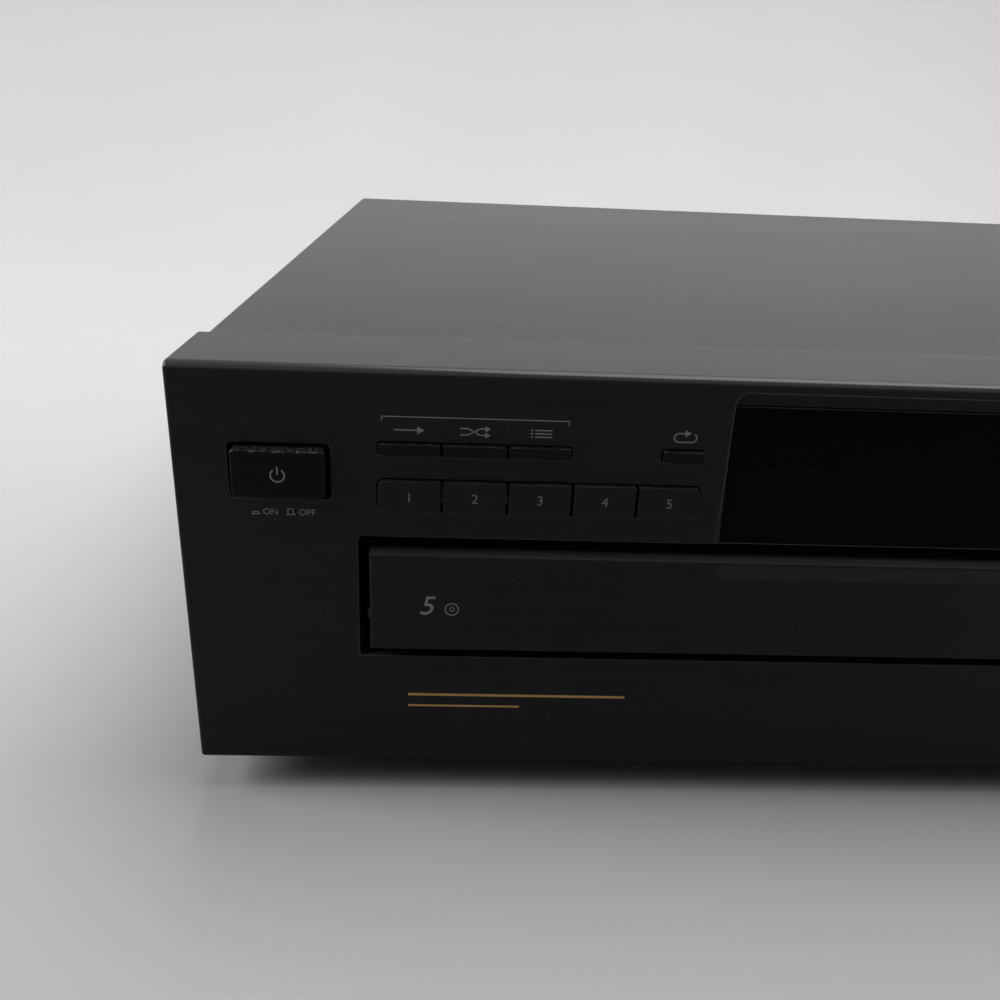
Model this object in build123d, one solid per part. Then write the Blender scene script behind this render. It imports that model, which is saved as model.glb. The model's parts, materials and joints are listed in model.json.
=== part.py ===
from build123d import *
from math import acos, atan2, cos, pi, radians, sin, sqrt
import os

# Five-disc CD changer with a carousel drawer, taken down to its separate pieces.
# Millimetres. X runs to the right as seen from the front, Y to the back, Z up.
# The origin lies under the middle of the whole player, on the surface it stands on.
# The discs set the carousel, the carousel sets the drawer, and the case is built round the drawer.

# ---------------------------------------------------------------- discs and carousel
disc_radius = 60.0
disc_thick = 1.2
disc_count = 5
small_disc_radius = 40.0
well_gap = 0.4
well_wall = 0.142
well_depth = 2.5
small_well_depth = 1.0
well_slot = 40.0
table_top = 66.5
table_web = 4.5
rim_skirt = 2.0
rim_skirt_wall = 2.5
hub_radius = 22.0
hub_rise = 0.7
ring_teeth = 80
ring_lift = 5.0
ring_wall = 3.0
spindle_radius = 3.0
spindle_boss_radius = 8.0
spindle_head_radius = 8.0
spindle_head = 1.2
shaft_gap = 0.05

well_ring = (disc_radius + well_gap + well_wall) / sin(pi / disc_count)
table_radius = well_ring + disc_radius

# ---------------------------------------------------------------- drawer
drawer_travel = 240.0
drawer_gap = 2.75
drawer_gap_z = 3.4
drawer_proud = 2.7
drawer_plate = 4.7
drawer_round = 0.8
dish_gap = 2.5
dish_front_gap = 7.25
tray_wall = 2.0
tray_edge = 0.5
tray_rear_trim = 3.0
tray_corner = 18.0
floor_drop = 19.5
floor_sheet = 2.0
deck_rise = 3.0
deck_sheet = 2.0
rack_back = 6.0
rack_height = 4.0
rack_inset = 18.0
rack_lead = 29.0
rack_tail = 15.0
runner_reach = 4.0
runner_rise = 3.0
runner_height = 2.5
runner_gap = 0.3
pad_radius = 4.0
pad_inset = 20.0
pad_angles = (0.0, 38.0, 142.0, 180.0, 240.0, 300.0)
slide_gap = 0.3

tray_half = table_radius + dish_gap + tray_wall + tray_edge
floor_bottom = table_top - floor_drop
skirt_bottom = floor_bottom - rack_height
deck_top = table_top + deck_rise
ring_bottom = floor_bottom + ring_lift
runner_bottom = floor_bottom + runner_rise
pad_ring = table_radius - pad_inset

# ---------------------------------------------------------------- case
side_bay = 47.0
rear_bay = 33.25
foot_lift = 10.0
slot_side_gap = 5.6
slot_over = 4.85
slot_under = 1.2
control_band = 40.65
lip_depth = 27.35
panel_wall = 3.0
panel_edge_round = 2.3
panel_side_round = 1.0
cover_inset = 2.0
cover_sheet = 0.8
cover_bend = 2.0
sheet = 1.0
sheet_gap = 0.2
pan_raise = 2.0
pan_flange = 15.0
pan_front_flange = 20.0
rear_flange = 10.0
rear_overlap = 11.0
power_proud = 2.75
jack_reach = 8.75
vent_count = 9
vent_lead = 95.0
vent_pitch = 7.0
vent_half = 10.0
vent_width = 3.0

case_width = 2 * (tray_half + side_bay)
case_depth = drawer_plate - drawer_proud + dish_front_gap + 2 * (table_radius + dish_gap) + rear_bay
front_y = -(power_proud + case_depth + jack_reach) / 2 + power_proud
table_y = front_y - drawer_proud + drawer_plate + dish_front_gap + table_radius + dish_gap
tray_rear = table_y + table_radius - tray_rear_trim
lip_y = front_y + lip_depth
cover_rear_y = front_y + case_depth
jack_end_y = cover_rear_y + jack_reach
slot_top = deck_top + slot_over
slot_bottom = skirt_bottom - slot_under
slot_half = tray_half + slot_side_gap
panel_bottom = foot_lift
panel_top = slot_top + control_band
wall_y = front_y + panel_wall
pan_bottom = panel_bottom + pan_raise
pan_top = pan_bottom + sheet
half_case = case_width / 2
cover_x = half_case - cover_inset
pan_x = cover_x - cover_sheet - sheet_gap
rear_plate_y = cover_rear_y - cover_sheet - sheet_gap - sheet

# ---------------------------------------------------------------- feet and screws
foot_radius = 17.0
foot_taper = 2.0
foot_inset_x = 45.0
foot_inset_y = 47.0
foot_recess_radius = 6.0
foot_recess_depth = 5.0
screw_head_radius = 3.6
screw_head_height = 1.9
screw_shank_radius = 1.5
screw_length = 7.0
screw_cross = 1.6
screw_cross_half = 0.4
screw_cross_depth = 1.1
side_screw_rise = 9.0
side_screw_front = 55.0
side_screw_rear = 80.0
rear_screw_inset = 65.0
rear_screw_drop = 6.0

side_screw_z = pan_top + side_screw_rise
rear_screw_x = half_case - rear_screw_inset

# ---------------------------------------------------------------- openings of the front panel
key_inset = 4.4
key_width = 15.0
key_count = 5
key_rise = 6.52
key_height = 8.33
mode_width = 14.8
mode_count = 3
mode_rise = 5.55
mode_height = 3.35
repeat_inset = 0.3
repeat_width = 10.1
power_side = 21.7
power_rise = 15.9
power_hole_width = 23.0
power_hole_height = 13.5
power_hole_round = 1.2
hole_round = 0.9
edge_round = 0.25
slot_round = 1.1
slot_rim = 2.0
slot_rim_depth = 9.0
window_inset = 5.1
window_drop = 6.6
window_lean = 2.4
window_edge_gap = 0.35
window_seat = 0.15
window_flange = 2.6
window_flange_thick = 1.2
window_corner = 1.6
window_bevel = 0.4
band_rise = 3.4
band_corner = 3.0

key_row_outer = slot_half - key_inset
key_row_inner = key_row_outer - key_count * key_width
key_row_bottom = slot_top + key_rise
key_row_top = key_row_bottom + key_height
mode_outer = key_row_outer
mode_inner = mode_outer - mode_count * mode_width
mode_bottom = key_row_top + mode_rise
mode_top = mode_bottom + mode_height
repeat_inner = key_row_inner + repeat_inset
repeat_outer = repeat_inner + repeat_width
power_x = key_row_outer + power_side
power_z = slot_top + power_rise
window_half = key_row_inner - window_inset
window_top = panel_top - window_drop

# ---------------------------------------------------------------- buttons and control board
key_gap = 0.35
key_proud = 1.2
key_travel = 0.8
key_seat = 0.3
key_flange = 1.3
key_flange_thick = 1.1
key_round = 0.3
key_row_corner = 1.8
key_stem_radius = 1.1
power_gap = 1.0
power_travel = 3.0
power_round = 0.7
power_rod = 4.0
power_rod_gap = 0.3
power_rod_grip = 4.0
board_sheet = 1.6
board_stand = 14.5
board_low_gap = 2.65
board_high_gap = 5.0
board_side_gap = 9.0
post_radius = 2.4
post_outer_gap = 5.1
post_outer_rise = 3.3
post_inner_gap = 10.1
post_inner_rise = 1.65
tact_width = 6.0
tact_body = 3.4
tact_tip_radius = 1.0
tact_tip = 1.5
switch_width = 15.0
switch_height = 13.0
switch_depth = 22.0
switch_pin = 4.0
tube_half = 58.0
tube_low_gap = 3.0
tube_high_gap = 5.0
tube_thick = 6.5
tube_edge = 0.8
tube_tip_radius = 1.6

board_bottom = slot_top + board_low_gap
board_top = panel_top - board_high_gap
board_half = half_case - board_side_gap
post_outer_x = key_row_outer + post_outer_gap
post_outer_z = key_row_top + post_outer_rise
post_inner_x = repeat_outer + post_inner_gap
post_inner_z = mode_bottom + post_inner_rise
tube_bottom = board_bottom + tube_low_gap
tube_top = board_top - tube_high_gap

# ---------------------------------------------------------------- gears, pulleys and motors
loader_module = 1.5
fine_module = 1.0
sled_module = 0.8
tooth_share = 0.40
tooth_lean = 0.17
tooth_reach = 0.9
tooth_root = 1.2
table_gear_teeth = 24
table_gear_angle = 222.0
table_gear_height = 4.5
gear_post_radius = 2.0
gear_post_step = 2.0
gear_hub_wall = 3.0
table_pulley_radius = 13.5
motor_pulley_radius = 4.0
pulley_height = 3.0
pulley_flange = 0.7
pulley_groove = 1.0
belt_thick = 1.0
belt_gap = 0.1
motor_radius = 12.2
motor_round = 1.0
motor_shaft_radius = 1.0
table_motor_inset = 26.4
table_motor_angle = 227.67
table_motor_drop = 2.4
motor_cup_wall = 2.0
pinion_teeth = 24
pinion_back = 52.75
big_gear_teeth = 48
big_gear_drop = 9.4
big_gear_height = 4.0
small_gear_teeth = 16
loader_pulley_radius = 15.0
loader_pulley_drop = 5.0
loader_motor_shift = 42.0

table_motor_x = (table_radius - table_motor_inset) * cos(radians(table_motor_angle))
table_motor_y = table_y + (table_radius - table_motor_inset) * sin(radians(table_motor_angle))
table_motor_bottom = floor_bottom - table_motor_drop
pinion_y = front_y + pinion_back
rack_line_x = -(tray_half - rack_inset)
rack_front_y = pinion_y - rack_lead
rack_rear_y = pinion_y + drawer_travel + rack_tail
big_gear_bottom = floor_bottom - big_gear_drop
loader_pulley_bottom = big_gear_bottom - loader_pulley_drop

# ---------------------------------------------------------------- mechanism frame and clamp
frame_rise = 2.0
frame_sheet = 2.5
frame_front_gap = 4.4
frame_rear_gap = 5.75
frame_round = 3.0
frame_rim = 22.0
frame_rear_rim = 8.0
frame_foot_radius = 6.0
frame_foot_side = 9.0
frame_foot_front = 12.0
frame_foot_middle = 30.0
frame_foot_rear = 14.0
rail_gap = 0.8
rail_wall = 3.5
rail_drop = 8.5
rail_ledge = 2.3
rail_ledge_gap = 0.8
bay_lead = 66.0
bay_round = 4.0
base_bay_half = 47.0
base_bay_gap = 4.0
base_bay_round = 12.0
spine_left = -66.0
spine_right = 50.0
spine_front = 36.0
shelf_right = 70.0
bridge_rise = 7.5
bridge_sheet = 1.5
bridge_depth = 40.0
bridge_flange = 6.0
clamp_radius = 16.0
clamp_rise = 1.8
clamp_height = 3.7
clamp_neck_radius = 8.0
clamp_cap_radius = 12.5
clamp_cap = 1.5
clamp_play = 0.3
clamp_hole_gap = 1.5
clamp_pocket_gap = 1.2

frame_bottom = pan_top + frame_rise
frame_front = lip_y + frame_front_gap
frame_rear = rear_plate_y - frame_rear_gap
rail_top = table_top - rail_drop
bay_front = frame_front + bay_lead
bridge_bottom = table_top + bridge_rise
clamp_bottom = table_top + clamp_rise

# ---------------------------------------------------------------- base unit
lift = 10.4
platter_clear = 0.1
platter_radius = 15.0
platter_thick = 3.0
platter_boss_radius = 4.0
platter_boss = 3.4
cone_radius = 7.3
cone_top_radius = 5.5
cone_height = 2.5
plate_sheet = 1.5
plate_lead = 18.0
plate_tail = 84.0
plate_round = 5.0
spindle_motor_height = 12.0
leg_x = 36.0
leg_inset = 6.5
leg_radius = 4.8
leg_bottom = 26.0
leg_bore_top = 43.0
guide_radius = 2.5
guide_top = 41.5
guide_gap = 0.1
sled_travel = 35.0
lens_inner = 23.0
pickup_half = 15.0
pickup_front_gap = 1.5
pickup_length = 23.0
pickup_bottom = 40.0
pickup_height = 12.0
bay_side_gap = 5.0
bay_end_gap = 1.5
sled_shaft_x = 22.0
sled_shaft_z = 43.0
sled_shaft_radius = 1.5
sleeve_radius = 3.0
lug_thick = 3.0
sled_rack_back = 3.0
sled_rack_height = 2.2
sled_gear_teeth = 15
sled_gear_shift = 41.0
sled_gear_bottom = 39.8
sled_gear_gap = 0.6
sled_shelf = 1.0
sled_motor_radius = 7.0
sled_motor_height = 8.0
lens_radius = 3.4
lens_rise = 1.2
lens_float = 0.5
lens_round = 1.08
actuator_half = 9.0
actuator_height = 1.4
slot_slope = 30.0
slider_lead = 7.5
slider_sheet = 2.5
slider_bottom = 17.8
slider_top = 44.5
slider_end = 10.0
pin_radius = 1.5
pin_gap = 0.3
pin_z = 30.0
slider_rib = 2.5
slider_rib_top = 25.0
lift_gear_teeth = 20
lift_rack_back = 2.2
lift_gear_bottom = 26.5
lift_gear_height = 3.5
lift_motor_height = 8.0
lift_motor_radius = 8.0

plate_bottom = floor_bottom
plate_front = table_y + well_ring - plate_lead
plate_rear = table_y + well_ring + plate_tail
base_bay_front = plate_front - base_bay_gap
bay_mid = plate_front - spine_front
sled_gear_y = table_y + well_ring + sled_gear_shift
slider_y = plate_front - slider_lead

# ---------------------------------------------------------------- power supply
core_side_gap = 2.35
core_back = 45.75
core_height = 32.0
core_stack = 18.0
core_leg = 10.0
core_yoke = 5.0
core_seat = 2.0
strap_sheet = 1.0
strap_foot = 9.0
coil_half = 15.0
coil_gap = 0.2
coil_round = 2.0

rail_outer = tray_half + runner_reach + rail_gap + rail_wall
core_width = pan_x - sheet - rail_outer - 2 * core_side_gap
core_x = -(pan_x - sheet + rail_outer) / 2
core_y = cover_rear_y - core_back

# ---------------------------------------------------------------- boards and sockets
main_side_gap = 12.0
main_width = 80.0
main_rear_gap = 13.75
main_depth = 168.0
main_rise = 8.0
standoff_radius = 3.0
standoff_inset = 6.0
can_count = 5
can_radius = 4.0
can_growth = 1.0
can_height = 12.0
can_extra = 3.0
can_pitch = 15.0
can_inset = 12.0
can_row = 38.0
chip_thick = 3.0
chip_side = 9.0
chip_long = 12.0
chip_narrow = 7.0
chip_left = 14.0
chip_right = 30.0
chip_front = 61.0
chip_rear = 97.0
plug_count = 3
plug_pitch = 26.0
plug_inset = 14.0
plug_front = 11.0
plug_width = 18.0
plug_depth = 6.0
plug_height = 7.0
sink_inset = 4.0
sink_width = 40.0
sink_row = 20.0
sink_wall = 2.0
sink_fin = 10.0
sink_fins = 6
sink_height = 16.0
jack_inset = 99.0
jack_pitch = 14.0
jack_rise = 22.0
jack_radius = 4.15
jack_wall = 0.4
jack_bore = 1.6
jack_core_radius = 2.9
jack_hole_gap = 0.6
jack_block_depth = 12.0
jack_block_side = 9.0
jack_block_height = 20.0
jack_flange = 1.4
jack_flange_radius = 6.2
gland_inset = 65.0
gland_rise = 21.0
gland_radius = 6.0
gland_bore = 3.2
gland_lip = 2.0
gland_lip_thick = 2.0

main_right = tray_half - main_side_gap
main_left = main_right - main_width
main_rear = rear_plate_y - main_rear_gap
main_front = main_rear - main_depth
main_z = pan_top + main_rise
jack_x = half_case - jack_inset
jack_z = pan_top + jack_rise
gland_x = -(half_case - gland_inset)
gland_z = pan_top + gland_rise


# ================================================================ helpers
def rect(x0, x1, y0, y1, corner=0.0):
    """Rectangle between two corners, rounded if a corner radius is given."""
    size = (x1 - x0, y1 - y0)
    face = RectangleRounded(*size, corner) if corner else Rectangle(*size)
    return Pos((x0 + x1) / 2, (y0 + y1) / 2) * face


def poly(points):
    """Polygon through the points, always wound the same way."""
    ends = points[1:] + points[:1]
    area = sum(a[0] * b[1] - b[0] * a[1] for a, b in zip(points, ends))
    return Polygon(*(points if area > 0 else points[::-1]), align=None)


def up(face, z0, z1):
    """Sketch in X and Y, raised from z0 to z1."""
    return extrude(Plane.XY.offset(z0) * face, amount=z1 - z0, dir=(0, 0, 1))


def back(face, y0, y1):
    """Sketch in X and Z, drawn out from y0 to y1."""
    return extrude(Plane.XZ.offset(-y0) * face, amount=y1 - y0, dir=(0, 1, 0))


def across(face, x0, x1):
    """Sketch in Y and Z, drawn out from x0 to x1."""
    return extrude(Plane.YZ.offset(x0) * face, amount=x1 - x0, dir=(1, 0, 0))


def disc(radius, x=0.0, y=0.0):
    """Round sketch at a place."""
    return Pos(x, y) * Circle(radius)


def spun(points, x, y):
    """Turned piece: radius and height pairs, spun about the vertical through x and y."""
    return Pos(x, y, 0) * revolve(Plane.XZ * poly(points), Axis.Z)


def one(shape):
    """The single solid of a shape."""
    return shape.solids()[0]


def group(*solids):
    """Separate solids that share one node."""
    return Compound(children=list(solids))


def gear_face(module, teeth, phase):
    """Toothed wheel with straight flanks; phase is the angle of one tooth in degrees."""
    pitch_radius = module * teeth / 2
    step = 2 * pi / teeth
    tip = pitch_radius + tooth_reach * module
    root = pitch_radius - tooth_root * module
    tip_half = step * (tooth_share / 2 - tooth_lean / 2)
    root_half = step * (tooth_share / 2 + tooth_lean / 2)
    points = []
    for number in range(teeth):
        middle = radians(phase) + number * step
        for radius, angle in ((root, -root_half), (tip, -tip_half), (tip, tip_half), (root, root_half)):
            points.append((radius * cos(middle + angle), radius * sin(middle + angle)))
    return poly(points)


def rack_face(module, line_x, start_y, end_y, tooth_y, thick, side):
    """Toothed bar along Y; side is +1 where its teeth point to +X, tooth_y lies on one tooth."""
    pitch = pi * module
    tip = line_x + side * tooth_reach * module
    root = line_x - side * tooth_root * module
    rear = line_x - side * thick
    tip_half = pitch * (tooth_share / 2 - tooth_lean / 2)
    root_half = pitch * (tooth_share / 2 + tooth_lean / 2)
    first = tooth_y - pitch * int((tooth_y - start_y - root_half) / pitch)
    points = [(rear, start_y), (root, start_y)]
    middle = first
    while middle + root_half <= end_y:
        points += [(root, middle - root_half), (tip, middle - tip_half)]
        points += [(tip, middle + tip_half), (root, middle + root_half)]
        middle += pitch
    points += [(root, end_y), (rear, end_y)]
    return poly(points)


def loop_face(a, radius_a, b, radius_b):
    """Outline of a band stretched round two wheels."""
    reach = sqrt((b[0] - a[0]) ** 2 + (b[1] - a[1]) ** 2)
    heading = atan2(b[1] - a[1], b[0] - a[0])
    spread = acos((radius_a - radius_b) / reach)
    corners = []
    ends = ((a, radius_a, -spread), (b, radius_b, -spread), (b, radius_b, spread), (a, radius_a, spread))
    for centre, radius, turn in ends:
        corners.append((centre[0] + radius * cos(heading + turn), centre[1] + radius * sin(heading + turn)))
    return disc(radius_a, *a) + disc(radius_b, *b) + poly(corners)


def belt(a, radius_a, b, radius_b, z0):
    """Rubber band in the grooves of two pulleys whose lower faces lie at z0."""
    inner_a = radius_a - pulley_groove + belt_gap
    inner_b = radius_b - pulley_groove + belt_gap
    face = loop_face(a, inner_a + belt_thick, b, inner_b + belt_thick) - loop_face(a, inner_a, b, inner_b)
    return up(face, z0 + pulley_flange + belt_gap, z0 + pulley_height - pulley_flange - belt_gap)


def pulley(radius, bore, x, y, z0):
    """Grooved pulley with its lower face at z0."""
    groove = radius - pulley_groove
    points = [
        (bore, z0),
        (radius, z0),
        (radius, z0 + pulley_flange),
        (groove, z0 + pulley_flange),
        (groove, z0 + pulley_height - pulley_flange),
        (radius, z0 + pulley_height - pulley_flange),
        (radius, z0 + pulley_height),
        (bore, z0 + pulley_height),
    ]
    return spun(points, x, y)


def motor(radius, x, y, z0, z1, shaft_top):
    """Small can motor standing upright, with its shaft on top."""
    can = up(disc(radius, x, y), z0, z1)
    can = fillet(can.edges().filter_by(GeomType.CIRCLE), motor_round)
    return one(can + up(disc(motor_shaft_radius, x, y), z1 - sheet, shaft_top))


# ================================================================ case
def front_panel():
    """Moulded front: a wall with a deep lip all round, open at the back."""
    shell = back(rect(-half_case, half_case, panel_bottom, panel_top), front_y, lip_y)
    top_edge = shell.edges().filter_by(Axis.X).group_by(Axis.Y)[0].sort_by(Axis.Z)[-1]
    shell = fillet(top_edge, panel_edge_round)
    low_edge = shell.edges().filter_by(Axis.X).group_by(Axis.Y)[0].sort_by(Axis.Z)[0]
    shell = fillet(low_edge, panel_side_round)
    side_edges = shell.edges().filter_by(Axis.Z).group_by(Axis.Y)[0]
    shell = fillet(side_edges, panel_side_round)
    inner_x = half_case - panel_wall
    shell -= back(rect(-inner_x, inner_x, panel_bottom + panel_wall, panel_top - panel_wall), wall_y, lip_y)
    shell += slot_surround()
    for x, z in board_posts():
        shell += back(disc(post_radius, x, z), wall_y, front_y + board_stand)
    cut_from = front_y - panel_wall
    for face in panel_holes():
        shell -= back(face, cut_from, wall_y + slot_rim_depth)
    shell -= window_recess()
    return one(fillet(opening_edges(shell), edge_round))


def opening_edges(shell):
    """Edges of the openings in the panel's face; the panel's own outline is left out."""
    margin = power_hole_round
    edges = []
    for edge in shell.edges().group_by(Axis.Y)[0]:
        box = edge.bounding_box()
        in_width = -half_case + margin < box.min.X and box.max.X < half_case - margin
        in_height = panel_bottom + margin < box.min.Z and box.max.Z < panel_top - panel_edge_round - sheet / 2
        beside_window = box.max.X < -window_half or box.min.X > window_half
        below_window = box.max.Z < slot_top + edge_round
        if in_width and in_height and (beside_window or below_window):
            edges.append(edge)
    return edges


def slot_surround():
    """Low wall behind the panel, under and beside the drawer slot."""
    outer = rect(-slot_half - slot_rim, slot_half + slot_rim, slot_bottom - slot_rim, slot_top)
    return back(outer, wall_y, wall_y + slot_rim_depth)


def panel_holes():
    """Every opening that goes straight through the panel."""
    power_hole = (power_hole_width / 2, power_hole_height / 2)
    faces = [rect(-slot_half, slot_half, slot_bottom, slot_top, slot_round)]
    faces.append(rect(-window_half, window_half, slot_top - slot_round * 2, window_top))
    for side in (-1, 1):
        x = side * power_x
        power_sides = (x - power_hole[0], x + power_hole[0], power_z - power_hole[1], power_z + power_hole[1])
        faces.append(rect(*power_sides, power_hole_round))
        key_sides = sorted((side * key_row_outer, side * key_row_inner))
        faces.append(rect(*key_sides, key_row_bottom, key_row_top, key_row_corner))
    faces.append(rect(-mode_outer, -mode_inner, mode_bottom, mode_top, hole_round))
    faces.append(rect(-repeat_outer, -repeat_inner, mode_bottom, mode_top, hole_round))
    return faces


def window_recess():
    """Sloping band above the window: the wall leans back to the window's upper edge."""
    points = [
        (front_y - sheet, window_top + band_rise + sheet * band_rise / window_lean),
        (front_y + window_lean, window_top),
        (front_y - sheet, window_top),
    ]
    outline = rect(-window_half, window_half, slot_bottom, window_top + band_rise, band_corner)
    return across(poly(points), -window_half, window_half) & back(outline, front_y - sheet, wall_y)


def board_posts():
    """Places of the posts that carry the control board, as X and Z."""
    places = []
    for side in (-1, 1):
        places.append((side * post_outer_x, post_outer_z))
        places.append((side * post_inner_x, post_inner_z))
    return places


def display_window():
    """Smoked window: it leans back to the top and has a flange behind the panel wall."""
    bottom = slot_top + window_seat
    points = [
        (front_y + window_seat, bottom),
        (front_y + window_lean, window_top - window_edge_gap),
        (wall_y + window_flange_thick, window_top - window_edge_gap),
        (wall_y + window_flange_thick, bottom),
    ]
    body = across(poly(points), -window_half + window_edge_gap, window_half - window_edge_gap)
    body = fillet(body.edges().filter_by(Axis.Y).group_by(Axis.Z)[-1], window_corner)
    body = fillet(body.faces().sort_by(Axis.Y)[0].edges(), window_bevel)
    flange_half = window_half + window_flange
    flange = rect(-flange_half, flange_half, bottom, window_top + window_flange)
    return one(body + back(flange, wall_y, wall_y + window_flange_thick))


def display_tube():
    """Flat glass display: a thick glass pane on a thinner, wider base plate."""
    rear = front_y + board_stand
    pane = back(rect(-tube_half, tube_half, tube_bottom, tube_top), rear - tube_thick, rear)
    pane = chamfer(pane.edges().group_by(Axis.Y)[0], tube_edge)
    tip = back(disc(tube_tip_radius, tube_half, (tube_bottom + tube_top) / 2), rear - tube_thick / 2, rear)
    return one(pane + tip)


def key_places():
    """Every push button with a switch on the control board: name, side and opening."""
    places = []
    for number in range(key_count):
        x0 = -key_row_outer + number * key_width
        places.append((f"disc_button_{number + 1}", x0, x0 + key_width, key_row_bottom, key_row_top))
    for number, name in enumerate(("continue", "shuffle", "program")):
        x0 = -mode_outer + number * mode_width
        places.append((f"{name}_button", x0, x0 + mode_width, mode_bottom, mode_top))
    places.append(("repeat_button", -repeat_outer, -repeat_inner, mode_bottom, mode_top))
    for number, name in enumerate(("track_back", "track_forward", "play", "pause", "stop")):
        x0 = key_row_inner + number * key_width
        places.append((f"{name}_button", x0, x0 + key_width, key_row_bottom, key_row_top))
    return places


def key_outline(x0, x1, z0, z1):
    """Outline of a cap; the end keys of a row follow the round corners of its opening."""
    cap = rect(x0 + key_gap, x1 - key_gap, z0 + key_gap, z1 - key_gap, key_gap)
    if z0 > key_row_bottom:
        return cap
    side = 1 if x0 > 0 else -1
    left, right = sorted((side * key_row_outer, side * key_row_inner))
    corner = key_row_corner - key_gap
    return cap & rect(left + key_gap, right - key_gap, z0 + key_gap, z1 - key_gap, corner)


def push_button(x0, x1, z0, z1):
    """Button cap with a retaining flange behind the wall and a stem for its switch."""
    button = back(key_outline(x0, x1, z0, z1), front_y - key_proud, wall_y + key_seat)
    button = fillet(button.edges().group_by(Axis.Y)[0], key_round)
    flange_y = wall_y + key_seat
    flange = rect(x0 + key_gap, x1 - key_gap, z0 - key_flange, z1 + key_flange)
    button += back(flange, flange_y, flange_y + key_flange_thick)
    stem_end = front_y + board_stand - tact_body - tact_tip - key_travel - key_seat
    button += back(disc(key_stem_radius, (x0 + x1) / 2, (z0 + z1) / 2), flange_y, stem_end)
    return one(button)


def wide_button(side, travel, proud, rod_end):
    """Large button at one end of the panel, with a rod or a stem behind it."""
    half_x = power_hole_width / 2 - power_gap
    half_z = power_hole_height / 2 - power_gap
    x = side * power_x
    cap = rect(x - half_x, x + half_x, power_z - half_z, power_z + half_z, power_gap)
    button = back(cap, front_y - proud, wall_y + key_seat)
    button = fillet(button.edges().group_by(Axis.Y)[0], power_round)
    flange_y = wall_y + key_seat
    reach = power_gap + key_flange
    flange = Pos(x, power_z) * Rectangle(2 * (half_x + reach), 2 * (half_z + reach))
    button += back(flange, flange_y, flange_y + key_flange_thick)
    half_rod = power_rod / 2
    rod = rect(x - half_rod, x + half_rod, power_z - half_rod, power_z + half_rod)
    button += back(rod, flange_y, rod_end - travel)
    return one(button)


def power_button():
    """Latching power button; its rod reaches into the switch behind the board."""
    rod_end = front_y + board_stand + board_sheet + power_rod_grip + power_travel
    return wide_button(-1, power_travel, power_proud, rod_end)


def open_close_button():
    """Button for the drawer, level with the power button."""
    return wide_button(1, key_travel, key_proud, front_y + board_stand - tact_body - tact_tip - key_seat)


def power_switch():
    """Latching mains switch behind the control board, bored for the button's rod."""
    front = front_y + board_stand + board_sheet
    half_x = switch_width / 2
    half_z = switch_height / 2
    outline = rect(-power_x - half_x, -power_x + half_x, power_z - half_z, power_z + half_z)
    body = back(outline, front, front + switch_depth)
    bore = power_rod / 2 + power_rod_gap
    depth = power_rod_grip + power_travel + power_rod_gap
    hole = rect(-power_x - bore, -power_x + bore, power_z - bore, power_z + bore)
    body -= back(hole, front - sheet, front + depth)
    for side in (-1, 1):
        x = -power_x + side * switch_width / 4
        pin = rect(x - sheet, x + sheet, power_z - sheet, power_z)
        body += back(pin, front + switch_depth, front + switch_depth + switch_pin)
    return one(body)


def control_board():
    """Long circuit board behind the panel, with a small switch behind each button."""
    front = front_y + board_stand
    board = back(rect(-board_half, board_half, board_bottom, board_top), front, front + board_sheet)
    bore = power_rod / 2 + power_rod_gap
    hole = rect(-power_x - bore, -power_x + bore, power_z - bore, power_z + bore)
    board -= back(hole, front - sheet, front + board_sheet + sheet)
    switches = []
    centres = [((x0 + x1) / 2, (z0 + z1) / 2) for name, x0, x1, z0, z1 in key_places()]
    half = tact_width / 2
    for x, z in centres + [(power_x, power_z)]:
        body = back(rect(x - half, x + half, z - half, z + half), front - tact_body, front)
        switches.append(one(body + back(disc(tact_tip_radius, x, z), front - tact_body - tact_tip, front)))
    return group(one(board), *switches)


def chassis_pan():
    """Folded steel pan: floor, side flanges, front flange, standoffs and vent slots."""
    side = pan_x - sheet
    profile = rect(-pan_x, pan_x, pan_bottom, pan_top + pan_flange)
    profile -= rect(-side, side, pan_top, pan_top + pan_flange)
    pan = back(profile, lip_y, rear_plate_y)
    pan += up(rect(-slot_half, slot_half, lip_y, lip_y + sheet), pan_top, pan_top + pan_front_flange)
    for x, y in board_standoffs():
        pan += up(disc(standoff_radius, x, y), pan_top, main_z)
    for number in range(vent_count):
        y = core_y - vent_lead + number * vent_pitch
        pan -= up(rect(core_x - vent_half, core_x + vent_half, y, y + vent_width), pan_bottom, pan_top)
    for x, y in foot_places():
        pan -= up(disc(screw_shank_radius, x, y), pan_bottom, pan_top)
    for x0, x1, y in side_screws():
        pan -= across(disc(screw_shank_radius, y, side_screw_z), *sorted((x0, x1)))
    return one(pan)


def board_standoffs():
    """Places of the standoffs under the main board."""
    xs = (main_left + standoff_inset, main_right - standoff_inset)
    ys = (main_front + standoff_inset, main_rear - standoff_inset)
    return [(x, y) for x in xs for y in ys]


def foot_places():
    """Middles of the four feet."""
    x = half_case - foot_inset_x
    ys = (front_y + foot_inset_y, cover_rear_y - foot_inset_y)
    return [(side * x, y) for side in (-1, 1) for y in ys]


def side_screws():
    """Side screws of the cover: both ends of the shank in X, and Y."""
    ends = []
    for side in (-1, 1):
        for y in (lip_y + side_screw_front, cover_rear_y - side_screw_rear):
            ends.append((side * cover_x, side * (cover_x - screw_length), y))
    return ends


def rear_screws():
    """Screws through the cover's rear flange, as X and Z."""
    return [(x, panel_top - rear_screw_drop) for x in (-rear_screw_x, 0.0, rear_screw_x)]


def cross(a, b):
    """Cross shaped recess of a screw head at a place in its own plane."""
    lying = Rectangle(2 * screw_cross, 2 * screw_cross_half)
    return Pos(a, b) * (lying + Rectangle(2 * screw_cross_half, 2 * screw_cross))


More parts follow.
